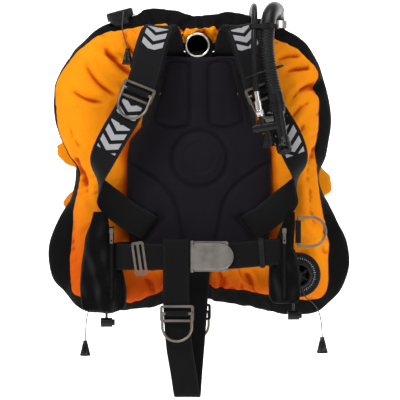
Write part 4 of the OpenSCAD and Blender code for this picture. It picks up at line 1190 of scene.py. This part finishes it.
def make_hoses():
    low = smooth(LP_HOSE, 6) * MM
    lp = round_cord("supply_hose", "lp_hose", low, 0.0058, RUBBER, "vest")
    length = float(arc(low)[-1])
    path = resample(smooth(HOSE, 24), 420) * MM
    length = arc(path)[-1]
    pitch, cuff_top, cuff_low, taper = 0.0055, 0.118, 0.018, 0.003

    def section(share):
        """Smooth cuffs at both ends and corrugations between them."""
        s = share * length
        wave = 0.5 + 0.5 * math.cos(2 * math.pi * s / pitch)
        ribbed = min(max((s - cuff_top) / taper, 0), 1) * min(max((length - cuff_low - s) / taper, 0), 1)
        return circle((1 - ribbed) * 0.01435 + ribbed * (0.01275 + 0.00175 * wave**0.7), 32)

    hose = add(sweep("breathing_hose", path, section), RUBBER, replaces=["inflator_hose"])
    bend = resample(smooth(ELBOW, 16), 80) * MM
    reach = arc(bend)[-1]

    def elbow_section(share):
        """A plain tube with a small bead near each end."""
        beads = (0.0006 * math.exp(-(((share * reach - at) / 0.0016) ** 2)) for at in (0.006, reach - 0.012))
        return circle(0.015 + sum(beads), 40)

    add(sweep("elbow", bend, elbow_section), RUBBER, replaces=["hose_elbow"])


# ---------- hardware details ----------
def knurl(name, matrix, radius, low, high, ribs, depth):
    """A ribbed grip ring over part of a turned piece."""
    half = [(radius - 1, low, 0), (radius, low + 0.3, 0.5), (radius + depth, low + 0.8, 1)]
    profile = half + [(r, low + high - z, share) for r, z, share in half[::-1]]
    return fluted(name, profile, ribs, depth, ribs * 6, matrix)


def make_inflator_details():
    add(knurl("head_grip", AT_HEAD, 14, -17, -4, 20, 0.5), PLASTIC)
    sleeve = knurl("sleeve_grip", AT_INFLATOR @ moved(-34, 0, -20), 7.6, 3, 13, 30, 0.35)
    add(sleeve, CHROME, "sleeve")
    # The moulded mouthpiece has a flange and bite ribs.
    lips = []
    for k in range(4):
        x, y, z = 9.2 + 1.15 * k, 8.2 - 0.1 * k, -62 - 5.5 * k
        lips.append(((-26 - x, -y, z - 1), (-26 + x, y, z + 1)))
    ribs = flat_mesh("mouthpiece_ribs", *box_mesh(lips), AT_INFLATOR)
    round_edges(ribs, 0.0009, 3)
    add(ribs, RUBBER)


BADGE_RIM = [(20.4, 0), (20.6, 1.0), (21.6, 1.7), (23, 1.7), (24.2, 0.9), (24.4, 0)]
BADGE_FACE = [(0.1, -2), (0.1, 1.2), (6, 1.1), (7, 0.5), (11, 0.5), (12, 1.1), (13.4, 1.1), (14.4, 0.5),
              (20.5, 0.5), (20.5, -2)]
EYELET = [(5.9, 0), (6.1, 0.9), (7, 1.4), (9, 1.2), (10, 0.3), (10, 0)]


def make_badge_and_buckle():
    facing_front = turned(90, 0, 0)
    rim = lathe("badge_rim", BADGE_RIM, 96, moved(-3, -35.6, 206) @ facing_front)
    add(rim, CHROME, replaces=["badge"])
    face = lathe("badge_face", BADGE_FACE, 96, moved(-3, -34.2, 206) @ facing_front)
    add(face, PLASTIC)
    # The buckle's raised edge: two straight sides and a half circle.
    left, round_x, middle_z, r = -9, 41, -207, 24
    y = BELT_Y - WEBBING_T / 2 - 9.9
    turn = np.linspace(-math.pi / 2, math.pi / 2, 25)
    edge = [(left, y, middle_z + r)]
    edge += [(round_x + r * math.cos(t), y, middle_z - r * math.sin(t)) for t in turn]
    edge += [(left, y, middle_z - r)]
    add(sweep("buckle_bead", resample(edge, 90) * MM, circle(0.0011, 8)), BUCKLE, "lever")


def make_centre_panel():
    """The zip, the bound edge and the bolt eyelets of the wing's centre panel."""
    zip_fastener("wing_zip_row", -56, 2.4, -118, 118, 1, 12, ["wing_zip"])
    grip = [((-60, 4.2, 98), (-52, 7.2, 112)), ((-58.2, 5.6, 82), (-53.8, 6.8, 99))]
    pull = flat_mesh("wing_zip_slider", *box_mesh(grip))
    round_edges(pull, 0.0008, 3)
    add(pull, STEEL)
    panel = bpy.data.objects.new("centre_cloth", nodes["wing_centre_panel"].data.copy())
    bpy.context.collection.objects.link(panel)
    add(panel, BLACK_CLOTH, replaces=["wing_centre_panel"])
    t = np.linspace(0, 2 * math.pi, 161)
    c, s = np.cos(t), np.sin(t)
    x, z = 74 * np.sign(c) * abs(c) ** 0.42, 199 * np.sign(s) * abs(s) ** 0.3 - 5
    loop = np.column_stack([x, np.full(161, 2.6), z])
    add(sweep("centre_binding", loop * MM, circle(0.0014, 8), caps=False), BLACK_CLOTH)
    for name, z in (("low", -139.7), ("high", 139.7)):
        eyelet = lathe("bolt_eyelet_" + name, EYELET, 48, moved(0, 2.4, z) @ turned(-90, 0, 0))
        add(eyelet, STEEL)


SOLID_LOOKS = {
    STEEL: ["steel_slides", "shoulder_ring_left", "shoulder_ring_right", "hip_ring", "crotch_ring_front",
            "crotch_ring_rear", "pad_screws", "zip_pull_left", "zip_pull_right"],
    COATED: ["backplate"],
    BUCKLE: ["buckle_frame", "buckle_pin", "buckle_lever"],
    CHROME: ["elbow_ring", "quick_sleeve", "hose_nipple", "lp_fitting"],
    PLASTIC: ["plastic_slides", "cord_locks", "lock_button_left", "lock_button_right", "inflator_body",
              "inflate_button", "deflate_button", "valve_bases"],
    RUBBER: ["mouthpiece", "hose_keepers"],
    SHOCK_CORD: ["pocket_cord_left", "pocket_cord_right"],
    SILICONE: ["poppet_top", "poppet_front", "poppet_rear"],
}


def dress_nodes():
    """Materials and rounded edges for the hard parts that show as they are."""
    for material, names in SOLID_LOOKS.items():
        for name in names:
            obj = nodes[name]
            for slot in obj.material_slots:
                slot.material = material
            if not obj.material_slots:
                obj.data.materials.append(material)
            if material in (STEEL, BUCKLE, CHROME, PLASTIC) and name != "pad_screws":
                bevel = round_edges(obj, 0.0005)
                bevel.limit_method = "ANGLE"
                bevel.angle_limit = math.radians(40)


# ---------- the studio ----------
def make_studio():
    """White paper that curves up behind the vest, and a soft white sky."""
    floor_z, near, back, bend, top, half_width = -0.66, -9.0, 5.4, 0.6, 4.0, 9
    path = [(near, floor_z), (back - bend, floor_z)]
    for a in np.linspace(0.1, math.pi / 2, 16):
        path.append((back - bend + bend * math.sin(a), floor_z + bend - bend * math.cos(a)))
    path.append((back, top))
    verts = [(x, y, z) for x in (-half_width, half_width) for y, z in path]
    backdrop = new_mesh("backdrop", verts, grid_faces(2, len(path)))
    paper = Look("paper", (0.93, 0.93, 0.93), 0.9)
    paper.color(paper.mix(paper.noise(400, 2), (0.92, 0.92, 0.92), (0.94, 0.94, 0.94)))
    # The paper glows more behind the vest, so that the far part is as white as the near part.
    far = paper.ramp(paper.split(paper.coords())["Y"], 0.3, 1.2)
    paper.set("Emission Color", (1, 1, 1, 1))
    paper.tree.links.new(paper.times(far, 0.5, 0.42), paper.shader.inputs["Emission Strength"])
    backdrop.data.materials.append(paper.mat)
    world = bpy.data.worlds.new("studio")
    world.use_nodes = True
    background = world.node_tree.nodes["Background"]
    background.inputs["Color"].default_value = (1, 1, 1, 1)
    background.inputs["Strength"].default_value = 0.36
    bpy.context.scene.world = world


make_area_light("key", (-1.2, -2.2, 1.6), (0, 0, -0.05), 0.9, 42)
make_area_light("fill", (1.8, -2.0, 0.6), (0, 0, -0.1), 1.8, 12)
make_area_light("top", (0.1, -0.3, 2.2), (0, 0, 0), 1.4, 22)
make_studio()
make_pulls()
make_hoses()
make_wing()
make_pad()
make_straps()
make_loops()
make_pockets()
make_valves()
make_inflator_details()
make_badge_and_buckle()
make_centre_panel()
dress_nodes()
